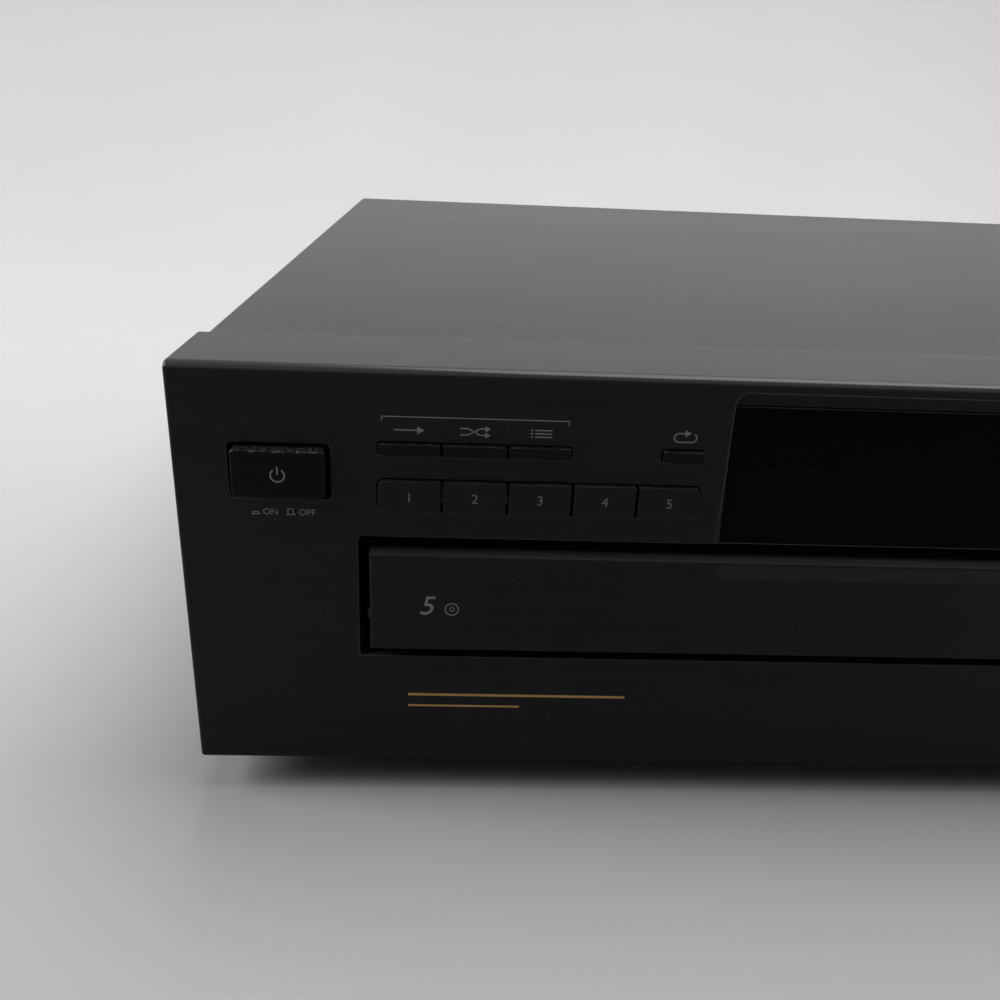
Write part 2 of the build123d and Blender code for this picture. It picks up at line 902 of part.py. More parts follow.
def feet():
    """Four round feet under the pan, hollow below for their screws."""
    points = [
        (screw_shank_radius, foot_recess_depth),
        (foot_recess_radius, foot_recess_depth),
        (foot_recess_radius, 0.0),
        (foot_radius - foot_taper, 0.0),
        (foot_radius, foot_taper),
        (foot_radius, pan_bottom),
        (screw_shank_radius, pan_bottom),
    ]
    return group(*[one(spun(points, x, y)) for x, y in foot_places()])


def case_screws():
    """Foot screws, side screws and rear screws of the case."""
    screws = []
    for x, y in foot_places():
        head_z = foot_recess_depth - screw_head_height
        head = up(disc(screw_head_radius, x, y), head_z, foot_recess_depth)
        head -= up(cross(x, y), head_z, head_z + screw_cross_depth)
        screws.append(one(head + up(disc(screw_shank_radius, x, y), foot_recess_depth, pan_top)))
    for x0, x1, y in side_screws():
        side = 1 if x0 > 0 else -1
        head_xs = sorted((x0, x0 + side * screw_head_height))
        head = across(disc(screw_head_radius, y, side_screw_z), *head_xs)
        tip_x = x0 + side * screw_head_height
        head -= across(cross(y, side_screw_z), *sorted((tip_x, tip_x - side * screw_cross_depth)))
        screws.append(one(head + across(disc(screw_shank_radius, y, side_screw_z), *sorted((x0, x1)))))
    for x, z in rear_screws():
        tip_y = cover_rear_y + screw_head_height
        head = back(disc(screw_head_radius, x, z), cover_rear_y, tip_y)
        head -= back(cross(x, z), tip_y - screw_cross_depth, tip_y)
        shank = back(disc(screw_shank_radius, x, z), cover_rear_y - screw_length, cover_rear_y)
        screws.append(one(head + shank))
    return group(*screws)


def top_cover():
    """Folded steel cover: top, both sides and a flange over the rear panel."""
    inner = cover_x - cover_sheet
    outline = rect(-cover_x, cover_x, pan_bottom, panel_top)
    cover = back(outline, lip_y, cover_rear_y)
    bends = cover.edges().filter_by(Axis.Y).group_by(Axis.Z)[-1]
    cover = fillet(bends, cover_bend)
    hollow_face = rect(-inner, inner, pan_bottom - sheet, panel_top - cover_sheet)
    hollow = back(hollow_face, lip_y - sheet, cover_rear_y - cover_sheet)
    cover -= fillet(hollow.edges().filter_by(Axis.Y).group_by(Axis.Z)[-1], cover_bend - cover_sheet)
    rear_opening = rect(-inner, inner, pan_bottom - sheet, panel_top - rear_overlap)
    cover -= back(rear_opening, lip_y, cover_rear_y + sheet)
    for x0, x1, y in side_screws():
        cover -= across(disc(screw_shank_radius, y, side_screw_z), *sorted((x0, x1)))
    for x, z in rear_screws():
        hole = disc(screw_shank_radius, x, z)
        cover -= back(hole, cover_rear_y - cover_sheet - sheet, cover_rear_y + sheet)
    return one(cover)


def rear_panel():
    """Rear plate with holes for the jacks, the cord bush and the cover's screws."""
    rear = rear_plate_y + sheet
    side = pan_x - sheet - sheet_gap
    top = panel_top - cover_sheet - sheet_gap
    plate = back(rect(-side, side, pan_top, top, cover_bend), rear_plate_y, rear)
    plate += up(rect(-side, side, rear_plate_y - rear_flange, rear), pan_top, pan_top + sheet)
    for x in jack_places():
        plate -= back(disc(jack_radius + jack_hole_gap, x, jack_z), rear_plate_y - sheet, rear + sheet)
    plate -= back(disc(gland_radius, gland_x, gland_z), rear_plate_y - sheet, rear + sheet)
    for x, z in rear_screws():
        plate -= back(disc(screw_shank_radius, x, z), rear_plate_y - sheet, rear + sheet)
    return one(plate)


# ================================================================ boards and power supply
def main_board():
    """Main circuit board on its standoffs."""
    return one(up(rect(main_left, main_right, main_front, main_rear), main_z, main_z + board_sheet))


def board_components():
    """Electrolytic capacitors, chips, connectors and a heat sink on the main board."""
    z0 = main_z + board_sheet
    pieces = []
    for number in range(can_count):
        large = number % 2
        can_x = main_left + can_inset + number * can_pitch
        can = disc(can_radius + large * can_growth, can_x, main_rear - can_row)
        pieces.append(one(up(can, z0, z0 + can_height + large * can_extra)))
    left = main_left + chip_left
    right = main_right - chip_right
    front = main_front + chip_front
    rear = main_front + chip_rear
    square = (chip_side, chip_side)
    chips = ((left, front, square), (right, front, (chip_long, chip_narrow)))
    chips += ((left, rear, (chip_narrow, chip_long)), (right, rear, square))
    for x, y, (half_x, half_y) in chips:
        pieces.append(one(up(rect(x - half_x, x + half_x, y - half_y, y + half_y), z0, z0 + chip_thick)))
    for number in range(plug_count):
        x = main_left + plug_inset + number * plug_pitch
        plug = Pos(x, main_front + plug_front) * Rectangle(plug_width, plug_depth)
        pieces.append(one(up(plug, z0, z0 + plug_height)))
    pieces.append(heat_sink(z0))
    return group(*pieces)


def heat_sink(z0):
    """Finned heat sink at the rear of the main board."""
    x0 = main_left + sink_inset
    y0 = main_rear - sink_row
    sink = rect(x0, x0 + sink_width, y0, y0 + sink_wall)
    for number in range(sink_fins):
        x = x0 + number * (sink_width - sink_wall) / (sink_fins - 1)
        sink += rect(x, x + sink_wall, y0, y0 + sink_fin)
    return one(up(sink, z0, z0 + sink_height))


def jack_places():
    """X of the left and right output jacks."""
    return (jack_x - jack_pitch / 2, jack_x + jack_pitch / 2)


def jack_block():
    """Moulded body that holds both jacks on the main board, and their round insulators."""
    rear = rear_plate_y - sheet_gap
    left, right = jack_places()
    base = main_z + board_sheet
    outline = rect(left - jack_block_side, right + jack_block_side, base, base + jack_block_height, sheet)
    body = back(outline, rear - jack_block_depth, rear)
    insulators = []
    for x in (left, right):
        body -= back(disc(jack_radius, x, jack_z), rear - jack_block_depth / 2, rear + sheet)
        ring = disc(jack_core_radius, x, jack_z) - disc(jack_bore, x, jack_z)
        insulators.append(one(back(ring, rear - jack_block_depth / 2, jack_end_y - jack_wall)))
    return group(one(body), *insulators)


def jack_shells():
    """Bright metal shells of the two phono jacks, each with a flange behind the plate."""
    shells = []
    inner = jack_radius - jack_wall
    start = rear_plate_y - sheet_gap - jack_block_depth / 2
    for x in jack_places():
        wall = disc(jack_radius, x, jack_z) - disc(inner, x, jack_z)
        shell = back(wall, start, jack_end_y)
        end = disc(jack_radius, x, jack_z) - disc(jack_core_radius, x, jack_z)
        shell += back(end, start, start + sheet)
        flange_start = rear_plate_y + sheet
        flange = disc(jack_flange_radius, x, jack_z) - disc(inner, x, jack_z)
        shells.append(one(shell + back(flange, flange_start, flange_start + jack_flange)))
    return group(*shells)


def cord_gland():
    """Bush in the rear plate, with a lip on each side of the sheet."""
    rear = rear_plate_y + sheet
    barrel = disc(gland_radius, gland_x, gland_z)
    lip = disc(gland_radius + gland_lip, gland_x, gland_z)
    bush = back(barrel, rear_plate_y, rear)
    bush += back(lip, rear_plate_y - gland_lip_thick, rear_plate_y)
    bush += back(lip, rear, rear + gland_lip_thick)
    bush -= back(disc(gland_bore, gland_x, gland_z), rear_plate_y - gland_lip_thick, rear + gland_lip_thick)
    return one(bush)


def transformer_core():
    """Laminated core in its steel strap, standing on the pan beside the drawer rail."""
    bottom = pan_top + core_seat
    half = core_width / 2
    y0 = core_y - core_stack / 2
    core = rect(core_x - half, core_x + half, bottom, bottom + core_height)
    window_in = core_leg / 2
    for side in (-1, 1):
        xs = sorted((core_x + side * window_in, core_x + side * (half - core_yoke)))
        core -= rect(*xs, bottom + core_yoke, bottom + core_height - core_yoke)
    body = back(core, y0, y0 + core_stack)
    strap_x = (core_x - half / 2, core_x + half / 2)
    strap_top = bottom + core_height
    strap = rect(y0 - strap_sheet, y0 + core_stack + strap_sheet, pan_top, strap_top + strap_sheet)
    strap -= rect(y0, y0 + core_stack, pan_top, strap_top)
    for edge, side in ((y0 - strap_sheet, -1), (y0 + core_stack + strap_sheet, 1)):
        strap += rect(*sorted((edge, edge + side * strap_foot)), pan_top, pan_top + strap_sheet)
    holder = across(strap, *strap_x)
    holder -= coil_block(coil_gap)
    return group(one(body), *holder.solids())


def coil_block(grow):
    """Block that the coil fills round the middle leg, grown by a clearance."""
    bottom = pan_top + core_seat + core_yoke
    top = bottom + core_height - 2 * core_yoke
    half_x = core_width / 2 - core_yoke - coil_gap + grow
    half_y = coil_half + grow
    face = rect(core_x - half_x, core_x + half_x, core_y - half_y, core_y + half_y, coil_round)
    return up(face, bottom + coil_gap - grow, top - coil_gap + grow)


def transformer_windings():
    """Wound coil round the middle leg of the core."""
    half = core_leg / 2 + coil_gap
    reach = core_stack / 2 + coil_gap
    hole = rect(core_x - half, core_x + half, core_y - reach, core_y + reach)
    return one(coil_block(0.0) - up(hole, pan_top, panel_top))


# ================================================================ mechanism frame
def rail_inner():
    """X of the rail walls' inner faces."""
    return tray_half + runner_reach + rail_gap


def mechanism_frame():
    """Moulded frame: rails for the drawer, decks, and pins for the gears and the base unit."""
    inner = rail_inner()
    outer = inner + rail_wall
    deck = frame_bottom + frame_sheet
    plan = rect(-outer, outer, frame_front, frame_rear, frame_round)
    side_strip = outer - frame_rim
    bay_rear = frame_rear - frame_rear_rim
    plan -= rect(-side_strip, spine_left, bay_front, bay_rear, bay_round)
    plan -= rect(spine_right, side_strip, bay_front, bay_rear, bay_round)
    plan -= rect(spine_left, spine_right, bay_front, bay_mid)
    frame = up(plan, frame_bottom, deck)
    for side in (-1, 1):
        beam_left, beam_right = sorted((side * inner, side * outer))
        frame += up(rect(beam_left, beam_right, frame_front, frame_rear), frame_bottom, rail_top)
        ledge = sorted((side * (tray_half + rail_ledge_gap), side * inner))
        low = runner_bottom - runner_gap
        high = runner_bottom + runner_height + runner_gap
        frame += up(rect(*ledge, frame_front, tray_rear), low - rail_ledge, low)
        frame += up(rect(*ledge, frame_front, tray_rear), high, high + rail_ledge)
        for y in (frame_front + frame_foot_front, bay_mid - frame_foot_middle, frame_rear - frame_foot_rear):
            frame += up(disc(frame_foot_radius, side * (outer - frame_foot_side), y), pan_top, frame_bottom)
    for x, y, top in loader_posts():
        frame += up(disc(gear_post_radius + gear_post_step, x, y), deck, loader_pulley_bottom - slide_gap)
        frame += up(disc(gear_post_radius, x, y), deck, top)
    for x, y in leg_places():
        frame += up(disc(guide_radius, x, y), deck, guide_top)
    groove_front = slider_y - slide_gap
    groove_rear = slider_y + slider_sheet + slide_gap
    shelf = rect(spine_left, shelf_right, groove_front - slider_rib, groove_rear + slider_rib)
    frame += up(shelf, frame_bottom, slider_rib_top)
    frame -= up(rect(spine_left, shelf_right, groove_front, groove_rear), deck, slider_rib_top)
    return one(frame)


def pinion_x():
    """X of the pinion that meshes with the drawer's rack."""
    return rack_line_x + loader_module * pinion_teeth / 2


def loader_gear_x():
    """X of the pulley gear beside the pinion's large wheel."""
    return pinion_x() + fine_module * (big_gear_teeth + small_gear_teeth) / 2


def loader_posts():
    """Pins of the two loading gears: X, Y and top."""
    pinion_top = floor_bottom - slide_gap
    gear_top = big_gear_bottom + big_gear_height + slide_gap
    return [(pinion_x(), pinion_y, pinion_top), (loader_gear_x(), pinion_y, gear_top)]


def loading_motor():
    """Motor that opens and closes the drawer."""
    z0 = frame_bottom + frame_sheet
    x = loader_gear_x() + loader_motor_shift
    shaft_bottom = loader_pulley_bottom - slide_gap
    return motor(motor_radius, x, pinion_y, z0, shaft_bottom, loader_pulley_bottom + pulley_height)


def loading_motor_pulley():
    """Pulley on the loading motor's shaft."""
    x = loader_gear_x() + loader_motor_shift
    return one(pulley(motor_pulley_radius, motor_shaft_radius + shaft_gap, x, pinion_y, loader_pulley_bottom))


def loading_belt():
    """Belt from the loading motor to the pulley gear."""
    a = (loader_gear_x(), pinion_y)
    b = (loader_gear_x() + loader_motor_shift, pinion_y)
    return one(belt(a, loader_pulley_radius, b, motor_pulley_radius, loader_pulley_bottom))


def loader_pulley_gear():
    """Belt pulley with a small gear on top."""
    x = loader_gear_x()
    bore = gear_post_radius + shaft_gap
    wheel = pulley(loader_pulley_radius, bore, x, pinion_y, loader_pulley_bottom)
    teeth = Pos(x, pinion_y) * (gear_face(fine_module, small_gear_teeth, 180.0) - Circle(bore))
    top = big_gear_bottom + big_gear_height
    wheel += up(teeth, loader_pulley_bottom + pulley_height, top)
    return one(wheel)


def loader_drive_gear():
    """Large wheel below and the rack's pinion above, in one moulding."""
    x = pinion_x()
    bore = gear_post_radius + shaft_gap
    top = floor_bottom - slide_gap
    big = gear_face(fine_module, big_gear_teeth, 180.0 / big_gear_teeth) - Circle(bore)
    small = gear_face(loader_module, pinion_teeth, 180.0) - Circle(bore)
    wheel = up(Pos(x, pinion_y) * big, big_gear_bottom, big_gear_bottom + big_gear_height)
    hub = disc(gear_post_radius + gear_post_step, x, pinion_y) - disc(bore, x, pinion_y)
    wheel += up(hub, loader_pulley_bottom, big_gear_bottom)
    wheel += up(Pos(x, pinion_y) * small, big_gear_bottom + big_gear_height, top)
    return one(wheel)


def clamp_bridge():
    """Folded bridge over the rear of the carousel, standing on both rails."""
    outer = rail_inner() + rail_wall
    y0 = well_y() - bridge_depth / 2
    y1 = well_y() + bridge_depth / 2
    profile = rect(-outer, outer, rail_top, bridge_bottom + bridge_sheet)
    profile -= rect(-rail_inner() - bridge_sheet, rail_inner() + bridge_sheet, rail_top, bridge_bottom)
    bridge = back(profile, y0, y1)
    for edge in ((y0, y0 + bridge_sheet), (y1 - bridge_sheet, y1)):
        bridge += up(rect(-outer, outer, *edge), bridge_bottom, bridge_bottom + bridge_flange)
    bridge -= up(disc(clamp_neck_radius + clamp_hole_gap, 0.0, well_y()), bridge_bottom - sheet, panel_top)
    return one(bridge)


def clamp_disc():
    """Clamp that holds the disc on the platter; it hangs in the bridge by its cap."""
    top = clamp_bottom + clamp_height
    cap_bottom = bridge_bottom + bridge_sheet + clamp_play
    pocket = cone_radius + clamp_pocket_gap
    pocket_top = clamp_bottom + cone_height + clamp_play
    points = [
        (0.0, pocket_top),
        (pocket, pocket_top),
        (pocket, clamp_bottom),
        (clamp_radius, clamp_bottom),
        (clamp_radius, top),
        (clamp_neck_radius, top),
        (clamp_neck_radius, cap_bottom),
        (clamp_cap_radius, cap_bottom),
        (clamp_cap_radius, cap_bottom + clamp_cap),
        (0.0, cap_bottom + clamp_cap),
    ]
    return one(spun(points, 0.0, well_y()))


# ================================================================ drawer
def drawer_front():
    """Front of the drawer, standing proud of the panel in its slot."""
    half = slot_half - drawer_gap
    outline = rect(-half, half, slot_bottom + drawer_gap_z, slot_top - drawer_gap_z)
    plate = back(outline, front_y - drawer_proud, tray_front())
    return one(fillet(plate.edges().group_by(Axis.Y)[0], drawer_round))


def tray_front():
    """Y where the tray starts, behind the drawer's front."""
    return front_y - drawer_proud + drawer_plate


def gear_centre():
    """Middle of the gear that turns the carousel."""
    reach = loader_module * (ring_teeth + table_gear_teeth) / 2
    angle = radians(table_gear_angle)
    return (reach * cos(angle), table_y + reach * sin(angle))


def tray():
    """Moulded drawer: a round dish for the carousel in a square tray with runners."""
    floor_top = floor_bottom + floor_sheet
    deck_bottom = deck_top - deck_sheet
    dish = table_radius + dish_gap
    front = tray_front()
    outline = rect(-tray_half, tray_half, front, tray_rear)
    inside = rect(-tray_half + tray_wall, tray_half - tray_wall, front + tray_wall, tray_rear - tray_wall)
    corners = inside - disc(dish + tray_wall, 0.0, table_y)
    body = up(outline, skirt_bottom, deck_top)
    body = fillet(body.edges().filter_by(Axis.Z).group_by(Axis.Y)[-1], tray_corner)
    body -= up(disc(dish, 0.0, table_y) & inside, floor_top, deck_top)
    body -= up(inside, skirt_bottom, floor_bottom)
    body -= up(corners, floor_top, deck_bottom)
    rack_strip = rect(rack_line_x - rack_back - sheet, rack_line_x + loader_module, front, tray_rear)
    body -= up(corners - rack_strip, floor_bottom, floor_top)
    open_rear = rect(-tray_half - sheet, tray_half + sheet, tray_rear - tray_corner * 2, tray_rear + sheet)
    body -= up(open_rear, skirt_bottom, floor_bottom)
    for side in (-1, 1):
        runner_xs = sorted((side * (tray_half - tray_wall), side * (tray_half + runner_reach)))
        runner = rect(*runner_xs, front + tray_wall, tray_rear - tray_corner)
        body += up(runner, runner_bottom, runner_bottom + runner_height)
    bay = rect(-base_bay_half, base_bay_half, base_bay_front, tray_rear + tray_corner, base_bay_round)
    body -= up(bay, skirt_bottom, deck_top)
    body += tray_fittings(floor_top)
    body -= up(disc(spindle_radius, 0.0, table_y), floor_bottom, floor_top)
    body += up(drawer_rack(), floor_bottom - rack_height, floor_bottom)
    body -= up(disc(motor_radius + slide_gap, table_motor_x, table_motor_y), skirt_bottom, floor_top)
    return one(body)


def tray_fittings(floor_top):
    """Boss, glide pads, gear pin and motor cup that stand on the tray's floor."""
    under_table = table_top - table_web - slide_gap
    boss = disc(spindle_boss_radius, 0.0, table_y) - disc(spindle_radius, 0.0, table_y)
    parts = up(boss, floor_top, under_table)
    for angle in pad_angles:
        x = pad_ring * cos(radians(angle))
        y = table_y + pad_ring * sin(radians(angle))
        parts += up(disc(pad_radius, x, y), floor_top, under_table)
    parts += up(disc(gear_post_radius, *gear_centre()), floor_top, under_table)
    cup = disc(motor_radius + slide_gap + motor_cup_wall, table_motor_x, table_motor_y)
    cup -= disc(motor_radius + slide_gap, table_motor_x, table_motor_y)
    return parts + up(cup, floor_top, table_pulley_z() - pulley_flange * 2)


def table_pulley_z():
    """Lower face of the pulleys of the carousel's drive."""
    return table_top - table_web - pulley_height - slide_gap * 4


def drawer_rack():
    """Rack under the tray; a gap lies opposite the tooth that the pinion points at it."""
    tooth_y = pinion_y + pi * loader_module / 2
    return rack_face(loader_module, rack_line_x, rack_front_y, rack_rear_y, tooth_y, rack_back, 1)


def carousel_spindle():
    """Steel pin of the carousel, with a flat head over its hub."""
    head_z = table_top + hub_rise + slide_gap
    points = [
        (0.0, floor_bottom),
        (spindle_radius, floor_bottom),
        (spindle_radius, head_z),
        (spindle_head_radius, head_z),
        (spindle_head_radius, head_z + spindle_head / 3),
        (spindle_head_radius - spindle_head / 2, head_z + spindle_head / 2),
        (0.0, head_z + spindle_head / 2),
    ]
    return one(spun(points, 0.0, table_y))


def table_motor():
    """Motor that turns the carousel, hung in its cup in the tray."""
    top = table_pulley_z() - slide_gap
    return motor(motor_radius, table_motor_x, table_motor_y, table_motor_bottom, top, top + pulley_height)


def table_motor_pulley():
    """Pulley on the table motor's shaft."""
    bore = motor_shaft_radius + shaft_gap
    return one(pulley(motor_pulley_radius, bore, table_motor_x, table_motor_y, table_pulley_z()))


def table_belt():
    """Belt from the table motor to the drive gear's pulley."""
    motor_place = (table_motor_x, table_motor_y)
    return one(belt(gear_centre(), table_pulley_radius, motor_place, motor_pulley_radius, table_pulley_z()))


def table_drive_gear():
    """Gear that meshes with the carousel's ring, with its belt pulley on top."""
    x, y = gear_centre()
    bore = gear_post_radius + shaft_gap
    phase = table_gear_angle + 180.0 + 180.0 / table_gear_teeth
    teeth = Pos(x, y) * (gear_face(loader_module, table_gear_teeth, phase) - Circle(bore))
    gear_z = ring_bottom + slide_gap
    wheel = up(teeth, gear_z, gear_z + table_gear_height)
    hub = disc(gear_post_radius + gear_hub_wall, x, y) - disc(bore, x, y)
    wheel += up(hub, floor_bottom + floor_sheet + slide_gap, table_pulley_z())
    return one(wheel + pulley(table_pulley_radius, bore, x, y, table_pulley_z()))


def carousel_table():
    """Round table with five disc wells, each open to the rim for the base unit."""
    bottom = table_top - table_web
    table = up(Circle(table_radius), bottom, table_top)
    table += up(Circle(table_radius) - Circle(table_radius - rim_skirt_wall), bottom - rim_skirt, bottom)
    for number in range(disc_count):
        turn = Rot(0, 0, 90.0 + number * 360.0 / disc_count)
        table -= up(turn * disc(disc_radius + well_gap, well_ring), table_top - well_depth, table_top)
        inner = table_top - well_depth - small_well_depth
        table -= up(turn * disc(small_disc_radius + well_gap, well_ring), inner, table_top)
        half = well_slot / 2
        notch = disc(half, well_ring) + rect(well_ring, table_radius + half, -half, half)
        table -= up(turn * notch, bottom - rim_skirt, table_top)
    table += up(Circle(hub_radius), bottom, table_top + hub_rise)
    ring = gear_face(loader_module, ring_teeth, table_gear_angle)
    ring -= Circle(loader_module * ring_teeth / 2 - tooth_root * loader_module - ring_wall)
    table += up(ring, ring_bottom, bottom)
    table -= up(Circle(spindle_radius + shaft_gap), bottom, table_top + hub_rise)
    return one(Pos(0, table_y, 0) * table)


# ================================================================ base unit
def well_y():
    """Y of the playing place: the rear well of the carousel at rest."""
    return table_y + well_ring


def platter_top():
    """Height of the platter's face with the base unit lowered."""
    return clamp_bottom - platter_clear - disc_thick - lift


def leg_places():
    """Middles of the base unit's four guide legs."""
    ys = (plate_front + leg_inset, plate_rear - leg_inset)
    return [(side * leg_x, y) for side in (-1, 1) for y in ys]


def pickup_front():
    """Y of the pickup's front face at the disc's inner track."""
    return well_y() + platter_radius + pickup_front_gap


def plate_reach():
    """Half the width of the base unit's plate: its side wall clears the sled gear's teeth."""
    gear_reach = sled_module * tooth_reach + sled_module * sled_gear_teeth / 2
    return gear_reach - sled_gear_x() + sled_gear_gap + sheet


def base_unit_frame():
    """Plate with the pickup's bay, guide legs, shaft lugs, motor shelf and lift pins."""
    bay_front_y = pickup_front() - bay_end_gap / 2
    bay_rear_y = pickup_front() + pickup_length + sled_travel + bay_end_gap
    bay_half = pickup_half + bay_side_gap
    plate_half = plate_reach()
    plan = rect(-plate_half, plate_half, plate_front, plate_rear, plate_round)
    plan -= rect(-bay_half, bay_half, bay_front_y, bay_rear_y, sheet)
    frame = up(plan, plate_bottom, plate_bottom + plate_sheet)
    frame -= up(disc(platter_boss_radius - sheet, 0.0, well_y()), plate_bottom, plate_bottom + plate_sheet)
    for x, y in leg_places():
        frame += up(disc(leg_radius, x, y), leg_bottom, plate_bottom)
        frame -= up(disc(guide_radius + guide_gap, x, y), leg_bottom, leg_bore_top)
    low = sled_shaft_z - sleeve_radius
    for y0 in (bay_front_y - bay_end_gap - lug_thick, bay_rear_y):
        for side in (-1, 1):
            x = side * sled_shaft_x
            lug = rect(x - sleeve_radius, x + sleeve_radius, low, plate_bottom)
            lug -= disc(sled_shaft_radius, x, sled_shaft_z)
            frame += back(lug, y0, y0 + lug_thick)
    shelf_top = sled_gear_bottom - slide_gap
    gear_x = sled_gear_x()
    shelf_ys = (sled_gear_y - sled_motor_radius, sled_gear_y + sled_motor_radius)
    shelf = rect(-plate_half, gear_x + sled_motor_radius, *shelf_ys)
    shelf -= disc(motor_shaft_radius + slide_gap, gear_x, sled_gear_y)
    frame += up(shelf, shelf_top - sled_shelf, shelf_top)
    frame += up(rect(-plate_half, -plate_half + sheet, *shelf_ys), shelf_top - sled_shelf, plate_bottom)
    for side in (-1, 1):
        pin = disc(pin_radius, side * leg_x, pin_z)
        frame += back(pin, slider_y - sheet, plate_front + leg_inset - guide_radius - guide_gap - sheet)
    return one(frame)


def spindle_motor():
    """Motor under the plate, with its shaft up through the platter."""
    top = platter_top() + cone_height - sheet
    return motor(motor_radius, 0.0, well_y(), plate_bottom - spindle_motor_height, plate_bottom, top)


def spindle_platter():
    """Platter with its centring cone, on the spindle motor's shaft."""
    face = platter_top()
    bore = motor_shaft_radius + shaft_gap
    points = [
        (bore, face - platter_thick - platter_boss / 2),
        (platter_boss_radius, face - platter_thick - platter_boss / 2),
        (platter_boss_radius, face - platter_thick),
        (platter_radius - sheet, face - platter_thick),
        (platter_radius, face - platter_thick + sheet),
        (platter_radius, face),
        (cone_radius, face),
        (cone_radius, face + cone_height / 2),
        (cone_top_radius, face + cone_height),
        (bore, face + cone_height),
    ]
    return one(spun(points, 0.0, well_y()))


def guide_shafts():
    """Two steel shafts that the pickup runs along."""
    bay_front_y = pickup_front() - bay_end_gap / 2
    start = bay_front_y - bay_end_gap - lug_thick
    end = pickup_front() + pickup_length + sled_travel + bay_end_gap + lug_thick
    shafts = []
    for side in (-1, 1):
        shafts.append(one(back(disc(sled_shaft_radius, side * sled_shaft_x, sled_shaft_z), start, end)))
    return group(*shafts)


def sled_rack_x():
    """Pitch line of the pickup's rack."""
    return -(sled_shaft_x + sleeve_radius + slide_gap + sled_rack_back)


def sled_gear_x():
    """X of the gear that drives the pickup."""
    return sled_rack_x() - sled_module * sled_gear_teeth / 2


def laser_pickup():
    """Pickup block on two sleeves, with its rack along one side."""
    y0 = pickup_front()
    y1 = y0 + pickup_length
    block = up(rect(-pickup_half, pickup_half, y0, y1, sheet), pickup_bottom, pickup_bottom + pickup_height)
    arm = rect(-sled_shaft_x, sled_shaft_x, y0 + sheet, y1 - sheet)
    block += up(arm, sled_shaft_z - sleeve_radius / 2, sled_shaft_z + sleeve_radius / 2)
    for side in (-1, 1):
        block += back(disc(sleeve_radius, side * sled_shaft_x, sled_shaft_z), y0 + sheet, y1 - sheet)
    margin = 2 * pi * sled_module
    rack_start = sled_gear_y - sled_travel - margin
    tooth_y = sled_gear_y + pi * sled_module / 2
    rack_end = sled_gear_y + margin
    rack = rack_face(sled_module, sled_rack_x(), rack_start, rack_end, tooth_y, sled_rack_back, -1)
    rack_z = sled_gear_bottom + slide_gap / 2
    block += up(rack, rack_z, rack_z + sled_rack_height)
    joint = rect(sled_rack_x() + sled_rack_back - sheet, -sled_shaft_x, y0 + sheet, y1 - sheet)
    block += up(joint, rack_z, rack_z + sled_rack_height)
    for side in (-1, 1):
        bore = disc(sled_shaft_radius + shaft_gap, side * sled_shaft_x, sled_shaft_z)
        block -= back(bore, rack_start, sled_gear_y + margin)
    return one(block)


def pickup_lens():
    """Lens in its moving holder, on top of the pickup."""
    y = well_y() + lens_inner
    z0 = pickup_bottom + pickup_height + lens_float
    half_y = lens_radius + sheet
    holder = up(rect(-actuator_half, actuator_half, y - half_y, y + half_y, sheet), z0, z0 + actuator_height)
    lens = up(disc(lens_radius, 0.0, y), z0, z0 + actuator_height + lens_rise)
    rim = lens.edges().filter_by(GeomType.CIRCLE).sort_by(Axis.Z)[-1]
    return one(holder + fillet(rim, lens_round))


def sled_gear():
    """Gear on the sled motor's shaft, in mesh with the pickup's rack."""
    face = gear_face(sled_module, sled_gear_teeth, 0.0) - Circle(motor_shaft_radius + shaft_gap)
    wheel = Pos(sled_gear_x(), sled_gear_y) * face
    return one(up(wheel, sled_gear_bottom, sled_gear_bottom + sled_rack_height + slide_gap))


def sled_motor():
    """Small motor under the shelf, for the pickup."""
    top = sled_gear_bottom - slide_gap - sled_shelf
    shaft = sled_gear_bottom + sled_rack_height
    return motor(sled_motor_radius, sled_gear_x(), sled_gear_y, top - sled_motor_height, top, shaft)


def slider_stroke():
    """Way of the lift slider that raises the base unit all the way."""
    return lift / (sin(radians(slot_slope)) / cos(radians(slot_slope)))


def lift_slider():
    """Plate with two slanting slots that raises the base unit by its pins."""
    stroke = slider_stroke()
    plate = rect(-leg_x - slider_end, leg_x + stroke + slider_end, slider_bottom, slider_top, sheet)
    hole = pin_radius + pin_gap
    for side in (-1, 1):
        x = side * leg_x
        plate -= loop_face((x, pin_z), hole, (x + stroke, pin_z + lift), hole)
    return one(back(plate, slider_y, slider_y + slider_sheet) + lift_rack())


def lift_rack():
    """Rack along the slider's front face, at the height of the lift gear."""
    line_y = slider_y - lift_rack_back
    margin = 2 * pi * fine_module
    rack_end = slider_stroke() + margin
    rack = rack_face(fine_module, line_y, -margin, rack_end, pi * fine_module / 2, lift_rack_back, -1)
    turned = mirror(Rot(0, 0, 90) * rack, Plane.YZ)
    return up(turned, lift_gear_bottom, lift_gear_bottom + lift_gear_height)


def lift_gear_y():
    """Y of the gear that moves the lift slider."""
    return slider_y - lift_rack_back - fine_module * lift_gear_teeth / 2


def lift_gear():
    """Gear on the lift motor's shaft."""
    face = gear_face(fine_module, lift_gear_teeth, 90.0) - Circle(motor_shaft_radius + shaft_gap)
    wheel = Pos(0.0, lift_gear_y()) * face
    return one(up(wheel, lift_gear_bottom, lift_gear_bottom + lift_gear_height))


def lift_motor():
    """Flat motor on the frame that raises and lowers the base unit."""
    z0 = frame_bottom + frame_sheet
    shaft_top = lift_gear_bottom + lift_gear_height
    return motor(lift_motor_radius, 0.0, lift_gear_y(), z0, z0 + lift_motor_height, shaft_top)


